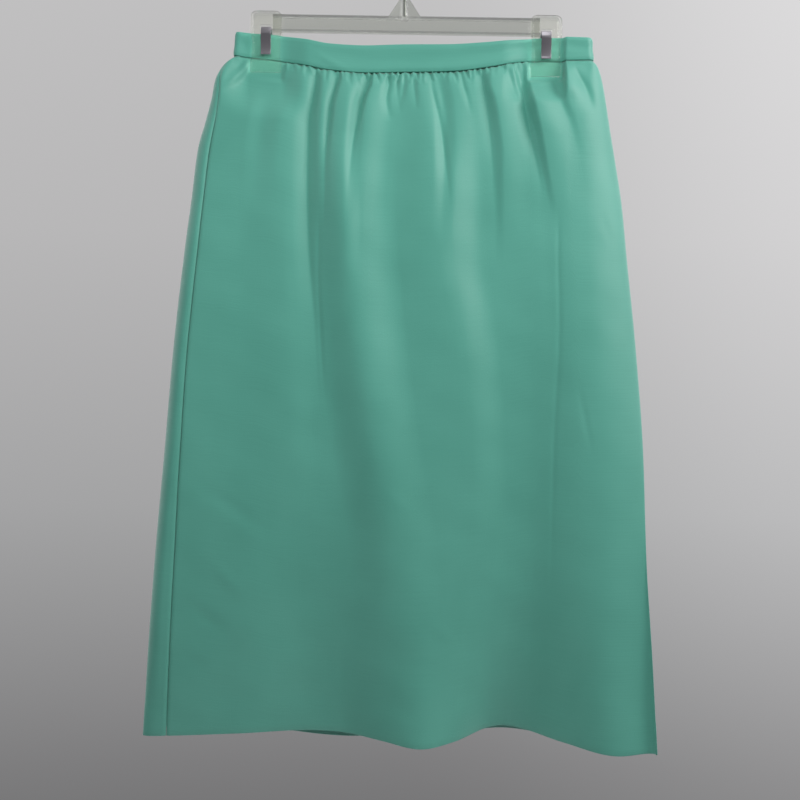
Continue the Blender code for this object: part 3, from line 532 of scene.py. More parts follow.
def across_face(across, level):
    """Where a station lies across, and 0 to 1 from a side fold to the open face."""
    left, right = section("left", level), section("right", level)
    turn_left, turn_right = section("turn_left", level), section("turn_right", level)
    start = np.clip(across / TURN, 0.0, 1.0) * pi / 2
    end = np.clip((1.0 - across) / TURN, 0.0, 1.0) * pi / 2
    flat = np.clip((across - TURN) / (1.0 - 2.0 * TURN), 0.0, 1.0)
    place = left + turn_left * (1.0 - np.cos(start)) + turn_right * np.cos(end)
    place = place + (right - left - turn_left - turn_right) * flat
    return place, np.sin(start) * np.sin(end)


def front_seam_drop(place):
    return column("bottom", place, BAND_EDGES)


def back_seam_drop(place):
    return column("bottom", place, BAND_EDGES) + BACK_SAG * (1.0 - pinch(place))


FRONT_FINE = pucker_folds(FRONT_PUCKERS, front_seam_drop)
BACK_FINE = pucker_folds(BACK_PUCKERS, back_seam_drop)


def skirt_face(around, level):
    """Points of the outer face, at stations around the skirt and at levels."""
    around, level = np.broadcast_arrays(np.mod(around, ROUND), np.asarray(level, float))
    on_front = around < 1.0
    across = np.where(on_front, around, ROUND - around)
    place, lens = across_face(across, level)
    drop = face_drop(place, level, lens, on_front)

    held_long = pinch(place, level)
    held_short = pinch(place, level, RIDGE_HALF_WIDTH, RIDGE_EASES, RIDGE_FREE, RIDGE_FADES)
    released = SEAM_HOLD + (1.0 - SEAM_HOLD) * ease((level - BAND_SEAM) / SEAM_RELEASE)
    below_seam = level > BAND_SEAM
    rise = np.zeros_like(place)
    sides = ((on_front, FRONT_FOLDS, FRONT_FINE, FRONT_LINES, FRONT_CREASES, 0.0),
             (~on_front, BACK_FOLDS, BACK_FINE, BACK_LINES, BACK_CREASES, 2.0))
    for chosen, folds, fine, lines, creases, side in sides:
        here = chosen & below_seam
        if not here.any():
            continue
        spot = place[here], drop[here]
        held = held_long[here], held_short[here]
        coarse = fold_rise(folds, *spot, *held, swell) + fold_rise(lines, *spot, *held, cusp)
        small = fold_rise(fine[0], *spot, *held, swell) + fold_rise(fine[1], *spot, *held, cusp)
        small = small + crease_rise(creases, *spot)
        soft = ripple_rise(*spot, side) * ease((level[here] - BAND_SEAM) / SAG_FADE)
        rise[here] = coarse * released[here] + small + soft

    left, right = section("left", level), section("right", level)
    share = (place - left) / (right - left)
    edge = section("edge_left", level) * (1.0 - share) + section("edge_right", level) * share
    out = np.where(on_front, -1.0, 1.0)
    base = np.where(on_front, section("front", level), section("back", level))
    closed = out * CLOSED_DEPTH
    base = base + (closed - base) * held_long
    depth = edge + (base + out * rise - edge) * lens
    return np.stack((place, depth, -drop), axis=-1)


def station_at(place, levels, on_front):
    """Where around the tube a place across lies on one of its faces, one for each level."""
    across = np.linspace(0.0, 1.0, 801)
    rows = across_face(across[None, :], levels[:, None])[0]
    stations = np.array([np.interp(spot, row, across) for spot, row in zip(place, rows)])
    return stations if on_front else ROUND - stations


def seams_at(levels):
    """Stations of the left, right and centre-back seams at each level."""
    inset = section("seam_side", levels)
    left = station_at(section("left", levels) + inset, levels, True)
    right = station_at(section("right", levels) - inset, levels, False)
    back = station_at(section("seam_back", levels), levels, False)
    return left, right, back


def trimmed(start, end, levels, start_gap, end_gap):
    """Move both ends of a stretch inwards by real distances along the cloth."""
    step = 1e-3
    ends = []
    for station, gap, way in ((start, start_gap, 1.0), (end, end_gap, -1.0)):
        moved = skirt_face(station + way * step, levels) - skirt_face(station, levels)
        ends.append(station + way * gap * step / np.linalg.norm(moved, axis=-1))
    return ends


def normals_of(points):
    """Unit normals of a grid of points, rows down and columns round."""
    round_way = np.gradient(points, axis=1)
    down_way = np.gradient(points, axis=0)
    normal = np.cross(down_way, round_way)
    return normal / np.linalg.norm(normal, axis=-1, keepdims=True)


def lengths_along(points, axis):
    """Real distance from the first point to each point along one way of a grid."""
    steps = np.linalg.norm(np.diff(points, axis=axis), axis=-1)
    first = np.zeros_like(np.take(steps, [0], axis=axis))
    return np.concatenate((first, np.cumsum(steps, axis=axis)), axis=axis)


# ---------------------------------------------------------------- Blender helpers
SHARPEST = 40.0         # degrees


def add_object(name, shape):
    if isinstance(shape, bmesh.types.BMesh):
        mesh = bpy.data.meshes.new(name)
        shape.to_mesh(mesh)
        shape.free()
        shape = mesh
    thing = bpy.data.objects.new(name, shape)
    bpy.context.scene.collection.objects.link(thing)
    return thing


def shell(name, outer, thickness, hem_steps=5, top_steps=1):
    """A closed thin shell under a grid of outer points, its lower and upper edges rounded.
    Its own "cloth_place" says how far across and down each point lies, in millimetres."""
    normal = normals_of(outer)
    inner = outer - normal * thickness[..., None]
    rows, columns = outer.shape[:2]

    def rim(row, neighbour, steps):
        """The points of a half circle from the outer to the inner face, past an end row."""
        middle = (outer[row] + inner[row]) / 2
        beyond = outer[row] - outer[neighbour]
        beyond = beyond / np.linalg.norm(beyond, axis=-1, keepdims=True)
        half = thickness[row][:, None] / 2
        angles = np.linspace(0, pi, steps + 1)[1:-1]
        return [middle + normal[row] * half * cos(a) + beyond * half * sin(a) for a in angles]
    loop = list(outer) + rim(-1, -2, hem_steps) + list(inner[::-1]) + rim(0, 1, top_steps)[::-1]
    loop = np.array(loop)
    count = len(loop)

    round_way = lengths_along(outer, 1)
    centre = np.abs(outer[rows // 2, :, 0]).argmin()
    across = round_way - round_way[:, centre:centre + 1]
    down = lengths_along(outer, 0)
    place = np.stack((across, down, np.zeros_like(down)), axis=-1)
    hem_rows = [place[-1]] * (hem_steps - 1)
    top_rows = [place[0]] * (top_steps - 1)
    places = np.array(list(place) + hem_rows + list(place[::-1]) + top_rows)

    corner = np.arange(count * columns).reshape(count, columns)
    below = np.roll(corner, -1, axis=0)
    quads = np.stack((corner[:, :-1], below[:, :-1], below[:, 1:], corner[:, 1:]), axis=-1)
    faces = quads.reshape(-1, 4).tolist()
    opposite = rows + hem_steps - 1
    for side in (0, columns - 1):
        for row in range(rows - 1):
            twin = opposite + rows - 1 - row
            face = [corner[row, side], corner[twin, side], corner[twin - 1, side],
                    corner[row + 1, side]]
            faces.append([int(i) for i in (face if side == 0 else face[::-1])])
        for first, last in ((rows - 1, opposite), (opposite + rows - 1, count)):
            cap = [int(corner[row % count, side]) for row in range(first, last + 1)]
            if len(cap) > 2:
                faces.append(cap[::-1] if side == 0 else cap)
    mesh = bpy.data.meshes.new(name)
    mesh.from_pydata((loop.reshape(-1, 3) * MM).tolist(), [], faces)
    mesh.update()
    mesh.shade_smooth()
    marks = mesh.attributes.new("cloth_place", "FLOAT_VECTOR", "POINT")
    marks.data.foreach_set("vector", places.reshape(-1).astype(np.float32))
    thing = add_object(name, mesh)
    tidy = bmesh.new()
    tidy.from_mesh(mesh)
    bmesh.ops.recalc_face_normals(tidy, faces=tidy.faces)
    if tidy.calc_volume(signed=True) < 0:
        bmesh.ops.reverse_faces(tidy, faces=tidy.faces)
    tidy.to_mesh(mesh)
    tidy.free()
    return thing


def smoothed(mesh):
    """Smooth shading, with edges over SHARPEST kept sharp."""
    mesh.shade_smooth()
    mesh.set_sharp_from_angle(angle=radians(SHARPEST))


def rounded(corners, radius, steps=4):
    """A closed outline through the corners, each rounded off."""
    corners = [np.array(corner, float) for corner in corners]
    outline = []
    for before, corner, after in zip(corners[-1:] + corners[:-1], corners, corners[1:] + corners[:1]):
        back, ahead = before - corner, after - corner
        reach = min(radius, 0.45 * np.linalg.norm(back), 0.45 * np.linalg.norm(ahead))
        start = corner + back / np.linalg.norm(back) * reach
        end = corner + ahead / np.linalg.norm(ahead) * reach
        for part in np.linspace(0.0, 1.0, steps + 1):
            outline.append(start * (1 - part) ** 2 + corner * 2 * part * (1 - part)
                           + end * part ** 2)
    return np.array(outline)


def both_sides(half):
    """A whole outline from its right half."""
    return tuple((-across, other) for across, other in reversed(half)) + tuple(half)


def circle(radius, sides=32):
    turns = np.linspace(0.0, 2.0 * pi, sides, endpoint=False)
    return np.stack((np.cos(turns), np.sin(turns)), axis=-1) * radius


def shrunk(outline, amount):
    """The outline moved inwards."""
    ahead = np.roll(outline, -1, axis=0) - np.roll(outline, 1, axis=0)
    normal = np.stack((ahead[:, 1], -ahead[:, 0]), axis=-1)
    normal = normal / np.linalg.norm(normal, axis=-1, keepdims=True)
    following = np.roll(outline, -1, axis=0)
    area = (outline[:, 0] * following[:, 1] - following[:, 0] * outline[:, 1]).sum()
    return outline - normal * amount * np.sign(area)


def loft(name, loops):
    """A closed solid through loops of points, its two ends flat."""
    mesh = bmesh.new()
    rings = [[mesh.verts.new(Vector(point) * MM) for point in loop] for loop in loops]
    for ring, following in zip(rings, rings[1:]):
        for i in range(len(ring)):
            j = (i + 1) % len(ring)
            mesh.faces.new((ring[i], ring[j], following[j], following[i]))
    mesh.faces.new(rings[0])
    mesh.faces.new(rings[-1])
    bmesh.ops.recalc_face_normals(mesh, faces=mesh.faces)
    thing = add_object(name, mesh)
    smoothed(thing.data)
    return thing


def drawn_out(name, outline, axis, low, high, bevel, steps=3):
    """An outline across one axis, drawn out along it, with rounded rims."""
    angles = np.linspace(0.0, pi / 2, steps + 1)
    rims = [(bevel * (1 - sin(angle)), bevel * (1 - cos(angle))) for angle in angles]
    stops = [(inset, low + along_it) for inset, along_it in rims]
    stops += [(inset, high - along_it) for inset, along_it in reversed(rims)]
    return loft(name, [np.insert(shrunk(outline, inset), axis, at, axis=1)
                       for inset, at in stops])


def sweep(name, path, side, outline, scales=None):
    """An outline moved along a path that lies in the plane across side."""
    path, side = np.array(path, float), np.array(side, float)
    ahead = np.gradient(path, axis=0)
    ahead = ahead / np.linalg.norm(ahead, axis=-1, keepdims=True)
    normal = np.cross(ahead, side)
    scales = np.ones(len(path)) if scales is None else scales
    return loft(name, [point + scale * (outline[:, :1] * side + outline[:, 1:] * up)
                       for point, up, scale in zip(path, normal, scales)])


def cut_corners(points, times=3):
    """The same open line with its corners cut off again and again."""
    points = np.array(points, float)
    for _ in range(times):
        inner = np.stack((points[:-1] * 0.75 + points[1:] * 0.25,
                          points[:-1] * 0.25 + points[1:] * 0.75), axis=1)
        points = np.vstack((points[:1], inner.reshape(-1, points.shape[1]), points[-1:]))
    return points


def combine(piece, other, operation):
    """Join another shape to a piece, or cut it out, and drop the other."""
    boolean = piece.modifiers.new("combine", "BOOLEAN")
    boolean.operation = operation
    boolean.object = other
    graph = bpy.context.evaluated_depsgraph_get()
    mesh = bpy.data.meshes.new_from_object(piece.evaluated_get(graph))
    piece.modifiers.clear()
    piece.data = mesh
    bpy.data.objects.remove(other)
    smoothed(mesh)


# ---------------------------------------------------------------- cloth
# Rows lie closest where the gathers are.
PANEL_LEVELS = np.concatenate((np.linspace(118.2, 160, 34)[:-1], np.linspace(160, 240, 34)[:-1],
                               np.linspace(240, HEM - 0.8, 84)))
FRONT_COLUMNS = 320
BACK_COLUMNS = 190
BAND_LEVELS = np.linspace(BAND_TOP + 0.9, BAND_SEAM - 0.9, 27)
BAND_COLUMNS = 520
TAPE_LEVELS = np.concatenate((np.linspace(TAPE_TOP, 130, 14)[:-1], np.linspace(130, TAPE_END, 60)))
TAPE_COLUMNS = 25


def half_slit(levels):
    """Half the width between the centre-back edges: open along the zip, a seam below it."""
    closing = ease((levels - ZIP_END) / ZIP_CLOSE)
    return ZIP_HALF_SLIT + (SEAM_GAP / 2 - ZIP_HALF_SLIT) * closing


def cloth_grid(start, end, levels, columns, start_gap, end_gap):
    """Points of the outer face between two stations at each level, moved in by the gaps."""
    start, end = trimmed(start, end, levels, start_gap, end_gap)
    across = np.linspace(0.0, 1.0, columns)
    return skirt_face(start[:, None] + (end - start)[:, None] * across, levels[:, None])


def panel(name, start, end, columns, start_gap, end_gap):
    """One panel from seam to seam, its edges rolled in and its hem turned up."""
    levels = PANEL_LEVELS
    points = cloth_grid(start, end, levels, columns, start_gap, end_gap)
    run = lengths_along(points, 1)
    to_edge = np.minimum(run, run[:, -1:] - run)
    dip = SEAM_DIP * (1.0 - ease(to_edge / SEAM_ROLL)) ** ROLL_POWER
    dip = dip + GATHER_DIP * (1.0 - ease((levels - levels[0]) / GATHER_ROLL))[:, None]
    hem_step = ease((levels - (HEM - HEM_TURN)) / HEM_STEP)
    puffed = HEM_PUFF * hem_step[:, None]
    points = points + normals_of(points) * (puffed - dip)[..., None]
    thickness = PANEL_SHELL + (HEM_SHELL - PANEL_SHELL) * hem_step
    return shell(name, points, np.repeat(thickness[:, None], columns, axis=1))


def make_panels():
    left, right, back = seams_at(PANEL_LEVELS)
    slit = half_slit(PANEL_LEVELS)
    seam = SEAM_GAP / 2
    front = panel("front", left, right, FRONT_COLUMNS, seam, seam)
    back_right = panel("back_right", right, back, BACK_COLUMNS, seam, slit)
    back_left = panel("back_left", back, left + ROUND, BACK_COLUMNS, slit, seam)
    for piece, node in ((front, "front_panel"), (back_right, "back_panel_right"),
                        (back_left, "back_panel_left")):
        dress(piece, "skirt", "cloth", CLOTH, node)


def make_band():
    """The pressed band, once round from the zip to the zip."""
    levels = BAND_LEVELS
    _, _, back = seams_at(levels)
    points = cloth_grid(back - ROUND, back, levels, BAND_COLUMNS, ZIP_HALF_SLIT, ZIP_HALF_SLIT)
    place = points[..., 0]
    edge = np.minimum(levels - levels[0], levels[-1] - levels)
    rolled = -BAND_ROLL * (1.0 - ease(edge / BAND_ROLL_WIDTH)) ** ROLL_POWER
    rise = BAND_STEP + np.repeat(rolled[:, None], BAND_COLUMNS, axis=1)
    for each in BAND_FOLDS:
        lean = (place - each.place) * each.lean
        swelling = swell((place - each.place) / each.across)
        swelling = swelling * swell((levels[:, None] - each.level - lean) / each.down)
        rise = rise + each.rise * swelling
    points = points + normals_of(points) * rise[..., None]
    thickness = np.full(points.shape[:2], BAND_SHELL)
    band = shell("band", points, thickness, 7, 7)
    dress(band, "skirt", "cloth", CLOTH, "waistband")


def make_zip():
    """The tape behind the slit, and the coil's teeth down its middle."""
    _, _, back = seams_at(TAPE_LEVELS)
    points = cloth_grid(back, back, TAPE_LEVELS, TAPE_COLUMNS, -TAPE_HALF_WIDTH, -TAPE_HALF_WIDTH)
    points = points - normals_of(points) * TAPE_DEPTH
    tape = shell("zip_tape_cloth", points, np.full(points.shape[:2], TAPE_SHELL), 3, 3)
    dress(tape, "skirt", "tape", TAPE, "zip_tape")

    teeth = bmesh.new()
    count = int((TEETH_END - TEETH_TOP) / TOOTH_PITCH)
    drops = TEETH_TOP + TOOTH_PITCH * np.arange(count)
    _, _, back = seams_at(drops)
    faces = skirt_face(back, drops)
    for number, face in enumerate(faces):
        way = 1 if number % 2 else -1
        middle = Vector((face[0] + way * TOOTH_PLACE, face[1] - TOOTH_DEPTH, face[2])) * MM
        size = Matrix.Diagonal((*(Vector(TOOTH_SIZE) * MM), 1.0))
        bmesh.ops.create_uvsphere(teeth, u_segments=10, v_segments=6, radius=1.0,
                                  matrix=Matrix.Translation(middle) @ size)
    teeth = add_object("zip_teeth", teeth)
    teeth.data.shade_smooth()
    dress(teeth, "skirt", "zip_metal", ENAMEL)


def slider_part(name, half, depths, radius, bevel):
    """A flat part of the slider or the pull, from half its outline."""
    place, depth, height = PULL_PIVOT
    outline = rounded(both_sides(half), radius) + (place, height)
    return drawn_out(name, outline, 1, depth + depths[0], depth + depths[1], bevel)


def rod(name, radius, half_length):
    """A round rod across the slider, on the pull's pivot."""
    place, depth, height = PULL_PIVOT
    return drawn_out(name, circle(radius, 24) + (depth, height), 0,
                     place - half_length, place + half_length, 0.15)


def make_slider():
    """The slider on its neck, its ears and pin, and the pull that hangs from the pin."""
    place, depth, height = PULL_PIVOT
    slider = slider_part("slider", PLATE_HALF, PLATE_DEPTHS, 1.2, 0.3)
    combine(slider, slider_part("neck", NECK_HALF, NECK_DEPTHS, 0.8, 0.15), "UNION")
    outline = np.flip(rounded(both_sides(EAR_HALF), 0.9), axis=1) + (depth, height)
    for way in (-1, 1):
        low, high = sorted((place + way * EAR_INNER, place + way * EAR_OUTER))
        combine(slider, drawn_out("ear", outline, 0, low, high, 0.15), "UNION")
    combine(slider, rod("pin", PIN_RADIUS, PIN_HALF), "UNION")
    dress(slider, "skirt", "zip_metal", ENAMEL, "zip_slider")

    pull = slider_part("pull", PULL_HALF, PULL_DEPTHS, 0.9, 0.25)
    combine(pull, rod("eye", EYE_RADIUS, EYE_HALF), "UNION")
    combine(pull, rod("eye_hole", EYE_HOLE_RADIUS, PIN_HALF), "DIFFERENCE")
    dress(pull, "pull", "zip_metal", ENAMEL, "zip_pull")


# ---------------------------------------------------------------- hanger
def make_bar():
    """The clear bar, its gusset, and the boss that holds the hook's shank."""
    half, web, flange = BAR_HALF_DEPTH, WEB_HALF, FLANGE
    profile = ((half, -BAR_TOP), (half, -BAR_TOP - flange), (web, -BAR_TOP - flange),
               (web, -BAR_BOTTOM + flange), (half, -BAR_BOTTOM + flange), (half, -BAR_BOTTOM))
    start = CLIP_PLACES["left"] + BAR_END_TO_CLIP
    end = CLIP_PLACES["right"] - BAR_END_TO_CLIP
    bar = drawn_out("bar", rounded(both_sides(profile), 0.9), 0, start, end, 0.5)
    corners = both_sides(((GUSSET_HALF_BASE, -BAR_TOP - 1), (GUSSET_HALF_TOP, -GUSSET_TOP)))
    gusset = drawn_out("gusset", rounded(corners, 1.2), 1, -GUSSET_HALF, GUSSET_HALF, 0.5)
    combine(bar, gusset, "UNION")
    rings = ((BOSS_RADIUS - 1, BOSS_BOTTOM), (BOSS_RADIUS - 0.3, BOSS_BOTTOM - 0.3),
             (BOSS_RADIUS, BOSS_BOTTOM - 1), (BOSS_RADIUS, BOSS_TOP + 0.9),
             (BOSS_RADIUS - 0.25, BOSS_TOP + 0.25), (BOSS_RADIUS - 0.9, BOSS_TOP),
             (WIRE_RADIUS + 0.6, BOSS_TOP), (WIRE_RADIUS + SEAM_GAP, BOSS_TOP + 0.4),
             (WIRE_RADIUS + SEAM_GAP, SHANK_END + SEAM_GAP))
    boss = loft("boss", [np.insert(circle(radius), 2, -drop, axis=1) for radius, drop in rings])
    combine(bar, boss, "UNION")
    dress(bar, "skirt", "clear_plastic", BAR_PLASTIC, "hanger_bar")


def make_hook():
    """The steel hook: a straight shank, a bend to the side and an arc over the rail."""
    radius, centre = HOOK_INSIDE + WIRE_RADIUS, -HOOK_INSIDE
    begin = radians(HOOK_START)
    first = np.array((radius * cos(begin), centre + radius * sin(begin)))
    shank_top = np.array((0.0, -SHANK_STRAIGHT_TOP))
    pulls = (shank_top, shank_top + (0.0, SHANK_RUN_OUT),
             first + np.array((sin(begin), -cos(begin))) * HOOK_RUN_IN, first)
    part = np.linspace(0.0, 1.0, 24)[1:-1, None]
    bend = ((1 - part) ** 3 * pulls[0] + 3 * part * (1 - part) ** 2 * pulls[1]
            + 3 * part ** 2 * (1 - part) * pulls[2] + part ** 3 * pulls[3])
    turns = np.radians(np.linspace(HOOK_START, HOOK_TIP, 90))
    arc = np.stack((radius * np.cos(turns), centre + radius * np.sin(turns)), axis=-1)
    shank = np.stack((np.zeros(20), np.linspace(-SHANK_END, -SHANK_STRAIGHT_TOP, 20)), axis=-1)
    flat = np.vstack((shank, bend, arc))
    past = np.radians(np.linspace(0, 84, 7)[1:])
    ahead = (flat[-1] - flat[-2]) / np.linalg.norm(flat[-1] - flat[-2])
    flat = np.vstack((flat, flat[-1] + np.sin(past)[:, None] * WIRE_RADIUS * ahead))
    scales = np.concatenate((np.ones(len(flat) - len(past)), np.cos(past)))
    path = np.insert(flat, 1, 0.0, axis=1)
    hook = sweep("hook", path, (0, 1, 0), circle(WIRE_RADIUS, 20), scales)
    dress(hook, "skirt", "steel", STEEL, "hanger_hook")


def make_jaw(side, face, way):
    """One jaw of a clip: a ribbed lever above, a narrower waist and a foot that grips."""
    clip_place = CLIP_PLACES[side]
    drops = [row.drop for row in JAW_ROWS]
    levels = np.concatenate([np.linspace(a, b, 5)[:-1] for a, b in zip(drops, drops[1:])]
                            + [drops[-1:]])
    columns = [column(name, levels, JAW_ROWS) for name in ("half_width", "inner", "outer", "rib")]
    loops = []
    for drop, width, inner, outer, rib in zip(levels, *columns):
        inside = width - RIB_WIDTH
        half = ((inside - RIB_FOOT, outer), (inside, outer + rib), (width, outer + rib),
                (width, inner))
        outline = rounded(both_sides(half), 0.55)
        loops.append(np.stack((clip_place + outline[:, 0], way * outline[:, 1],
                               np.full(len(outline), -drop)), axis=-1))
    jaw = loft(f"clip_{side}_{face}", loops)
    corners = both_sides(((WINDOW_HALF_WIDTH, -WINDOW_TOP), (WINDOW_HALF_WIDTH, -WINDOW_BOTTOM)))
    low, high = sorted(way * depth for depth in WINDOW_DEPTHS)
    window = drawn_out("window", rounded(corners, 1.0) + (clip_place, 0), 1, low, high, 0.2)
    combine(jaw, window, "DIFFERENCE")
    dress(jaw, "skirt", "clear_plastic", PLASTIC, f"clip_{side}_{face}_jaw")


def make_spring(side):
    """A flat steel spring through both windows, its lips turned out."""
    front = [(0.0, -depth, -drop) for depth, drop in SPRING_LEG]
    back = [(0.0, depth, -drop) for depth, drop in reversed(SPRING_LEG)]
    path = cut_corners(front + back) + (CLIP_PLACES[side], 0.0, 0.0)
    half, wall = SPRING_HALF_WIDTH, SPRING_WALL / 2
    outline = rounded(both_sides(((half, -wall), (half, wall))), 0.3)
    spring = sweep(f"clip_{side}_staple", path, (1, 0, 0), outline)
    dress(spring, "skirt", "steel", SPRING_STEEL, f"clip_{side}_spring")


def make_hanger():
    make_bar()
    make_hook()
    for side in CLIP_PLACES:
        make_jaw(side, "front", -1)
        make_jaw(side, "back", 1)
        make_spring(side)


# ---------------------------------------------------------------- materials
def feed(tree, socket, value):
    """Link a socket to another, or set its value."""
    if isinstance(value, bpy.types.NodeSocket):
        tree.links.new(value, socket)
    else:
        socket.default_value = value


def set_inputs(tree, node, **inputs):
    """Feed a node's inputs by name, with _ for a space."""
    for name, value in inputs.items():
        feed(tree, node.inputs[name.replace("_", " ")], value)


def put(tree, kind, settings=None, **inputs):
    """Add a node, with its settings and its inputs."""
    made = tree.nodes.new("ShaderNode" + kind)
    for name, value in (settings or {}).items():
        setattr(made, name, value)
    set_inputs(tree, made, **inputs)
    return made


def maths(tree, operation, *values):
    """A Math node over values or links."""
    made = tree.nodes.new("ShaderNodeMath")
    made.operation = operation
    for socket, value in zip(made.inputs, values):
        feed(tree, socket, value)
    return made.outputs[0]


def ramp(tree, amount, *stops):
    """A colour ramp through (position, colour) stops."""
    made = tree.nodes.new("ShaderNodeValToRGB")
    tree.links.new(amount, made.inputs[0])
    elements = made.color_ramp.elements
    while len(elements) < len(stops):
        elements.new(1.0)
    for element, (position, colour) in zip(elements, stops):
        element.position = position
        element.color = (*colour, 1.0)
    return made.outputs["Color"]


def new_material(name):
    material = bpy.data.materials.new(name)
    material.use_nodes = True
    tree = material.node_tree
    return material, tree, tree.nodes["Principled BSDF"]


def bumps(tree, height, strength, distance):
    """A normal that follows a height."""
    return put(tree, "Bump", Strength=strength, Distance=distance, Height=height).outputs["Normal"]


def noise(tree, place, scale, detail, settings=None, **inputs):
    """Noise over a place that is scaled by three numbers."""
    scaled = put(tree, "Mapping", Vector=place, Scale=scale).outputs[0]
    return put(tree, "TexNoise", settings, Vector=scaled, Scale=1.0, Detail=detail,
               **inputs).outputs["Fac"]


def cloth_material(name, dark, light, thread):
    """Fine plain-woven polyester: softly lustrous, with uneven threads."""
    material, tree, shader = new_material(name)
    place = put(tree, "Attribute", {"attribute_name": "cloth_place"}).outputs["Vector"]
    axes = put(tree, "SeparateXYZ", Vector=place)
    across, down = axes.outputs["X"], axes.outputs["Y"]
    warp = maths(tree, "SINE", maths(tree, "MULTIPLY", across, pi / thread))
    weft = maths(tree, "SINE", maths(tree, "MULTIPLY", down, pi / thread))
    weave = maths(tree, "MULTIPLY", warp, weft)

    def threads(scale_across, scale_down):
        return noise(tree, place, (scale_across, scale_down, 1.0), 2.0,
                     {"noise_dimensions": "2D"}, Roughness=0.6)
    slubs = threads(0.02, 0.9)
    warp_threads = threads(1.1, 0.03)
    clouds = threads(0.012, 0.009)

    height = maths(tree, "MULTIPLY_ADD", weave, 0.35, maths(tree, "MULTIPLY", slubs, 1.2))
    height = maths(tree, "MULTIPLY_ADD", warp_threads, 0.6, height)
    tone = maths(tree, "MULTIPLY_ADD", clouds, 0.7, maths(tree, "MULTIPLY", slubs, 0.3))
    colour = ramp(tree, tone, (0.3, dark), (0.7, light))
    set_inputs(tree, shader, Base_Color=colour, Normal=bumps(tree, height, 0.5, 0.00012),
               Roughness=0.52, Specular_IOR_Level=0.8,
               Sheen_Weight=0.25, Sheen_Roughness=0.45, Sheen_Tint=(0.9, 1.0, 0.97, 1.0))
    return material


def plastic_material(name, colour, alpha):
    """Clear moulded plastic, with flow waves and fine scratches. It lets the lamps through."""
    material, tree, shader = new_material(name)
    place = put(tree, "TexCoord").outputs["Object"]
    waves = put(tree, "TexNoise", Vector=place, Scale=170.0, Detail=2.0).outputs["Fac"]
    scratches = noise(tree, place, (150.0, 900.0, 1500.0), 4.0)
    rough = put(tree, "MapRange", Value=scratches, From_Min=0.45, From_Max=0.75,
                To_Min=0.05, To_Max=0.16).outputs[0]
    height = maths(tree, "MULTIPLY_ADD", scratches, 0.15, waves)
    set_inputs(tree, shader, Base_Color=(*colour, 1.0), Normal=bumps(tree, height, 0.5, 0.0006),
               Roughness=rough, Alpha=alpha, IOR=1.49, Transmission_Weight=1.0)
    clear = put(tree, "BsdfTransparent", Color=(0.93, 0.94, 0.91, 1.0))
    lit = put(tree, "LightPath").outputs["Is Shadow Ray"]
    mixed = put(tree, "MixShader")
    for socket, link in zip(mixed.inputs, (lit, shader.outputs["BSDF"], clear.outputs["BSDF"])):
        tree.links.new(link, socket)
    tree.links.new(mixed.outputs["Shader"], tree.nodes["Material Output"].inputs["Surface"])
    return material


def steel_material(name, colour, roughness):
    """Plated steel with faint marks from the mill."""
    material, tree, shader = new_material(name)
    place = put(tree, "TexCoord").outputs["Object"]
    marks = noise(tree, place, (900.0, 900.0, 60.0), 3.0)
    rough = maths(tree, "MULTIPLY_ADD", marks, 0.12, roughness - 0.06)
    set_inputs(tree, shader, Base_Color=(*colour, 1.0), Roughness=rough, Metallic=1.0)
    return material


def enamel_material():
    """Enamelled metal in the cloth's colour, with a slightly uneven coat that is worn paler."""
    material, tree, shader = new_material("zip_enamel")
    place = put(tree, "TexCoord").outputs["Object"]
    coat = put(tree, "TexNoise", Vector=place, Scale=900.0, Detail=3.0).outputs["Fac"]
    colour = ramp(tree, coat, (0.35, (0.130, 0.385, 0.310)), (0.72, (0.185, 0.470, 0.390)))
    rough = maths(tree, "MULTIPLY_ADD", coat, 0.2, 0.25)
    set_inputs(tree, shader, Base_Color=colour, Normal=bumps(tree, coat, 0.3, 0.0001),
               Roughness=rough)
    return material


CLOTH = cloth_material("mint_cloth", (0.112, 0.440, 0.348), (0.132, 0.486, 0.388), 0.55)
TAPE = cloth_material("zip_tape_weave", (0.090, 0.390, 0.305), (0.105, 0.430, 0.335), 1.1)
PLASTIC = plastic_material("clear_plastic", (0.88, 0.895, 0.84), 0.62)
# The bar's plastic is partly its own grey-green tint and partly painted shade: it is tinted darker to
# stand in for the shadow that falls on the wall behind it.
BAR_PLASTIC = plastic_material("bar_plastic_tint_and_painted_shade", (0.56, 0.59, 0.53), 0.68)
STEEL = steel_material("plated_steel", (0.60, 0.60, 0.61), 0.22)
SPRING_STEEL = steel_material("spring_steel", (0.49, 0.475, 0.52), 0.24)
ENAMEL = enamel_material()


def dress(piece, body, slot, material, *nodes):
    """Give a piece its material, say what it rides on, and hide the model's parts that it stands for.
    """
    piece.data.materials.append(material)
    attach(piece, body)
    if nodes:
        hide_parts(*nodes)


# ---------------------------------------------------------------- scene
VIEW_DISTANCE = 1300.0
VIEW_PLACE = 1.5
VIEW_DROP = 451.4
VIEW_ANGLE = 33.48      # degrees, across the frame
VIEW_ROLL = 0.9
SENSOR = 36.0
AMBIENT = 0.06          # how much of the backdrop's brightness lights the skirt from the front,
WALL_GLOW = 2.0         # and from behind, as a pale wall close behind it does
MIRRORED = 0.5          # and how much of it shows in glossy surfaces
FLOOR_DROP = 1700.0
FLOOR_RADIUS = 1400.0

# The backdrop's grey by the height of the view's direction, and what it gains towards the right.
BACKDROP = ((0.16, (0.16, 0.16, 0.162)), (0.24, (0.225, 0.223, 0.227)), (0.42, (0.40, 0.40, 0.405)),
            (0.62, (0.52, 0.515, 0.52)), (0.85, (0.60, 0.595, 0.60)))
SIDE_GLOW = {"From_Min": -0.02, "From_Max": 0.34, "To_Min": 0.92, "To_Max": 1.26}

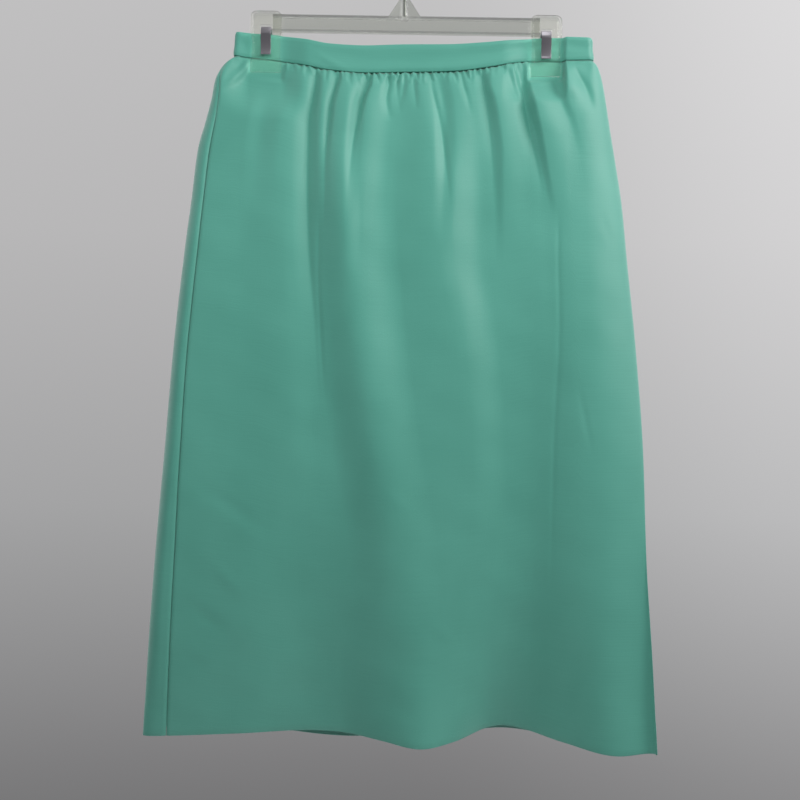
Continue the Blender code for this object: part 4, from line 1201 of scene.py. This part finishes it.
# A mirrored lamp is also seen in the glossy surfaces and through the clear plastic.
Lamp = namedtuple("Lamp", "name place depth drop size power colour mirrored")
LAMPS = [Lamp(*row) for row in (
    ("front", 0, -1100, -100, 320, 6.3, (1.0, 0.99, 0.98), False),
    ("right", 1050, -607, -330, 600, 8.6, (1.0, 0.99, 0.98), True),
    ("left", -1650, -770, -600, 900, 2.8, (0.98, 0.99, 1.0), True),
    ("top", 168, -462, -1435, 500, 1.0, (1.0, 0.99, 0.98), True),
)]
LAMPS_AIM = 400.0       # they point at this drop


def make_camera():
    lens = bpy.data.cameras.new("view")
    lens.sensor_width = SENSOR
    lens.lens = SENSOR / 2 / tan(radians(VIEW_ANGLE / 2))
    camera = bpy.data.objects.new("view", lens)
    bpy.context.scene.collection.objects.link(camera)
    camera.matrix_world = (
        Matrix.Translation(Vector((VIEW_PLACE, -VIEW_DISTANCE, -VIEW_DROP)) * MM)
        @ Matrix.Rotation(pi / 2, 4, "X") @ Matrix.Rotation(radians(VIEW_ROLL), 4, "Z"))
    bpy.context.scene.camera = camera


def make_light(row):
    lamp = bpy.data.lights.new(row.name, "AREA")
    lamp.shape = "SQUARE"
    lamp.size = row.size * MM
    lamp.energy = row.power
    lamp.color = row.colour
    thing = bpy.data.objects.new(row.name, lamp)
    bpy.context.scene.collection.objects.link(thing)
    spot = Vector((row.place, row.depth, -row.drop)) * MM
    aim = Vector((0.0, 0.0, -LAMPS_AIM)) * MM - spot
    thing.location = spot
    thing.rotation_euler = aim.to_track_quat("-Z", "Y").to_euler()
    thing.visible_glossy = row.mirrored
    thing.visible_transmission = row.mirrored


def make_surroundings():
    """A pale wall that is seen by the camera in full, and lights the skirt only in part."""
    world = bpy.data.worlds.new("studio")
    world.use_nodes = True
    bpy.context.scene.world = world
    tree = world.node_tree
    way = put(tree, "TexCoord").outputs["Generated"]
    axes = put(tree, "SeparateXYZ", Vector=way)
    height = maths(tree, "MULTIPLY_ADD", axes.outputs["Z"], 1.0, 0.5)
    grey = ramp(tree, height, *BACKDROP)
    sideways = put(tree, "MapRange", {"interpolation_type": "SMOOTHSTEP"}, Value=axes.outputs["X"],
                   **SIDE_GLOW).outputs[0]
    path = put(tree, "LightPath")
    mirrored = maths(tree, "MULTIPLY", path.outputs["Is Glossy Ray"], MIRRORED)
    seen = maths(tree, "MAXIMUM", path.outputs["Is Camera Ray"], path.outputs["Is Transmission Ray"])
    seen = maths(tree, "MAXIMUM", seen, mirrored)
    behind = put(tree, "MapRange", {"interpolation_type": "SMOOTHSTEP"}, Value=axes.outputs["Y"],
                 From_Min=-0.2, From_Max=0.3, To_Min=AMBIENT, To_Max=WALL_GLOW).outputs[0]
    dimmed = maths(tree, "MULTIPLY_ADD", maths(tree, "SUBTRACT", 1.0, seen), behind, seen)
    sky = tree.nodes["Background"]
    tree.links.new(grey, sky.inputs["Color"])
    feed(tree, sky.inputs["Strength"], maths(tree, "MULTIPLY", sideways, dimmed))
    bpy.context.scene.view_settings.view_transform = "Standard"

    disc = bmesh.new()
    bmesh.ops.create_circle(disc, cap_ends=True, segments=128, radius=FLOOR_RADIUS * MM)
    floor = add_object("floor", disc)
    floor.location.z = -FLOOR_DROP * MM
    material, tree, shader = new_material("pale_floor")
    set_inputs(tree, shader, Base_Color=(0.62, 0.62, 0.63, 1.0), Roughness=0.7)
    floor.data.materials.append(material)


make_panels()
make_band()
make_zip()
make_hanger()
make_slider()
make_camera()
make_surroundings()
for lamp in LAMPS:
    make_light(lamp)
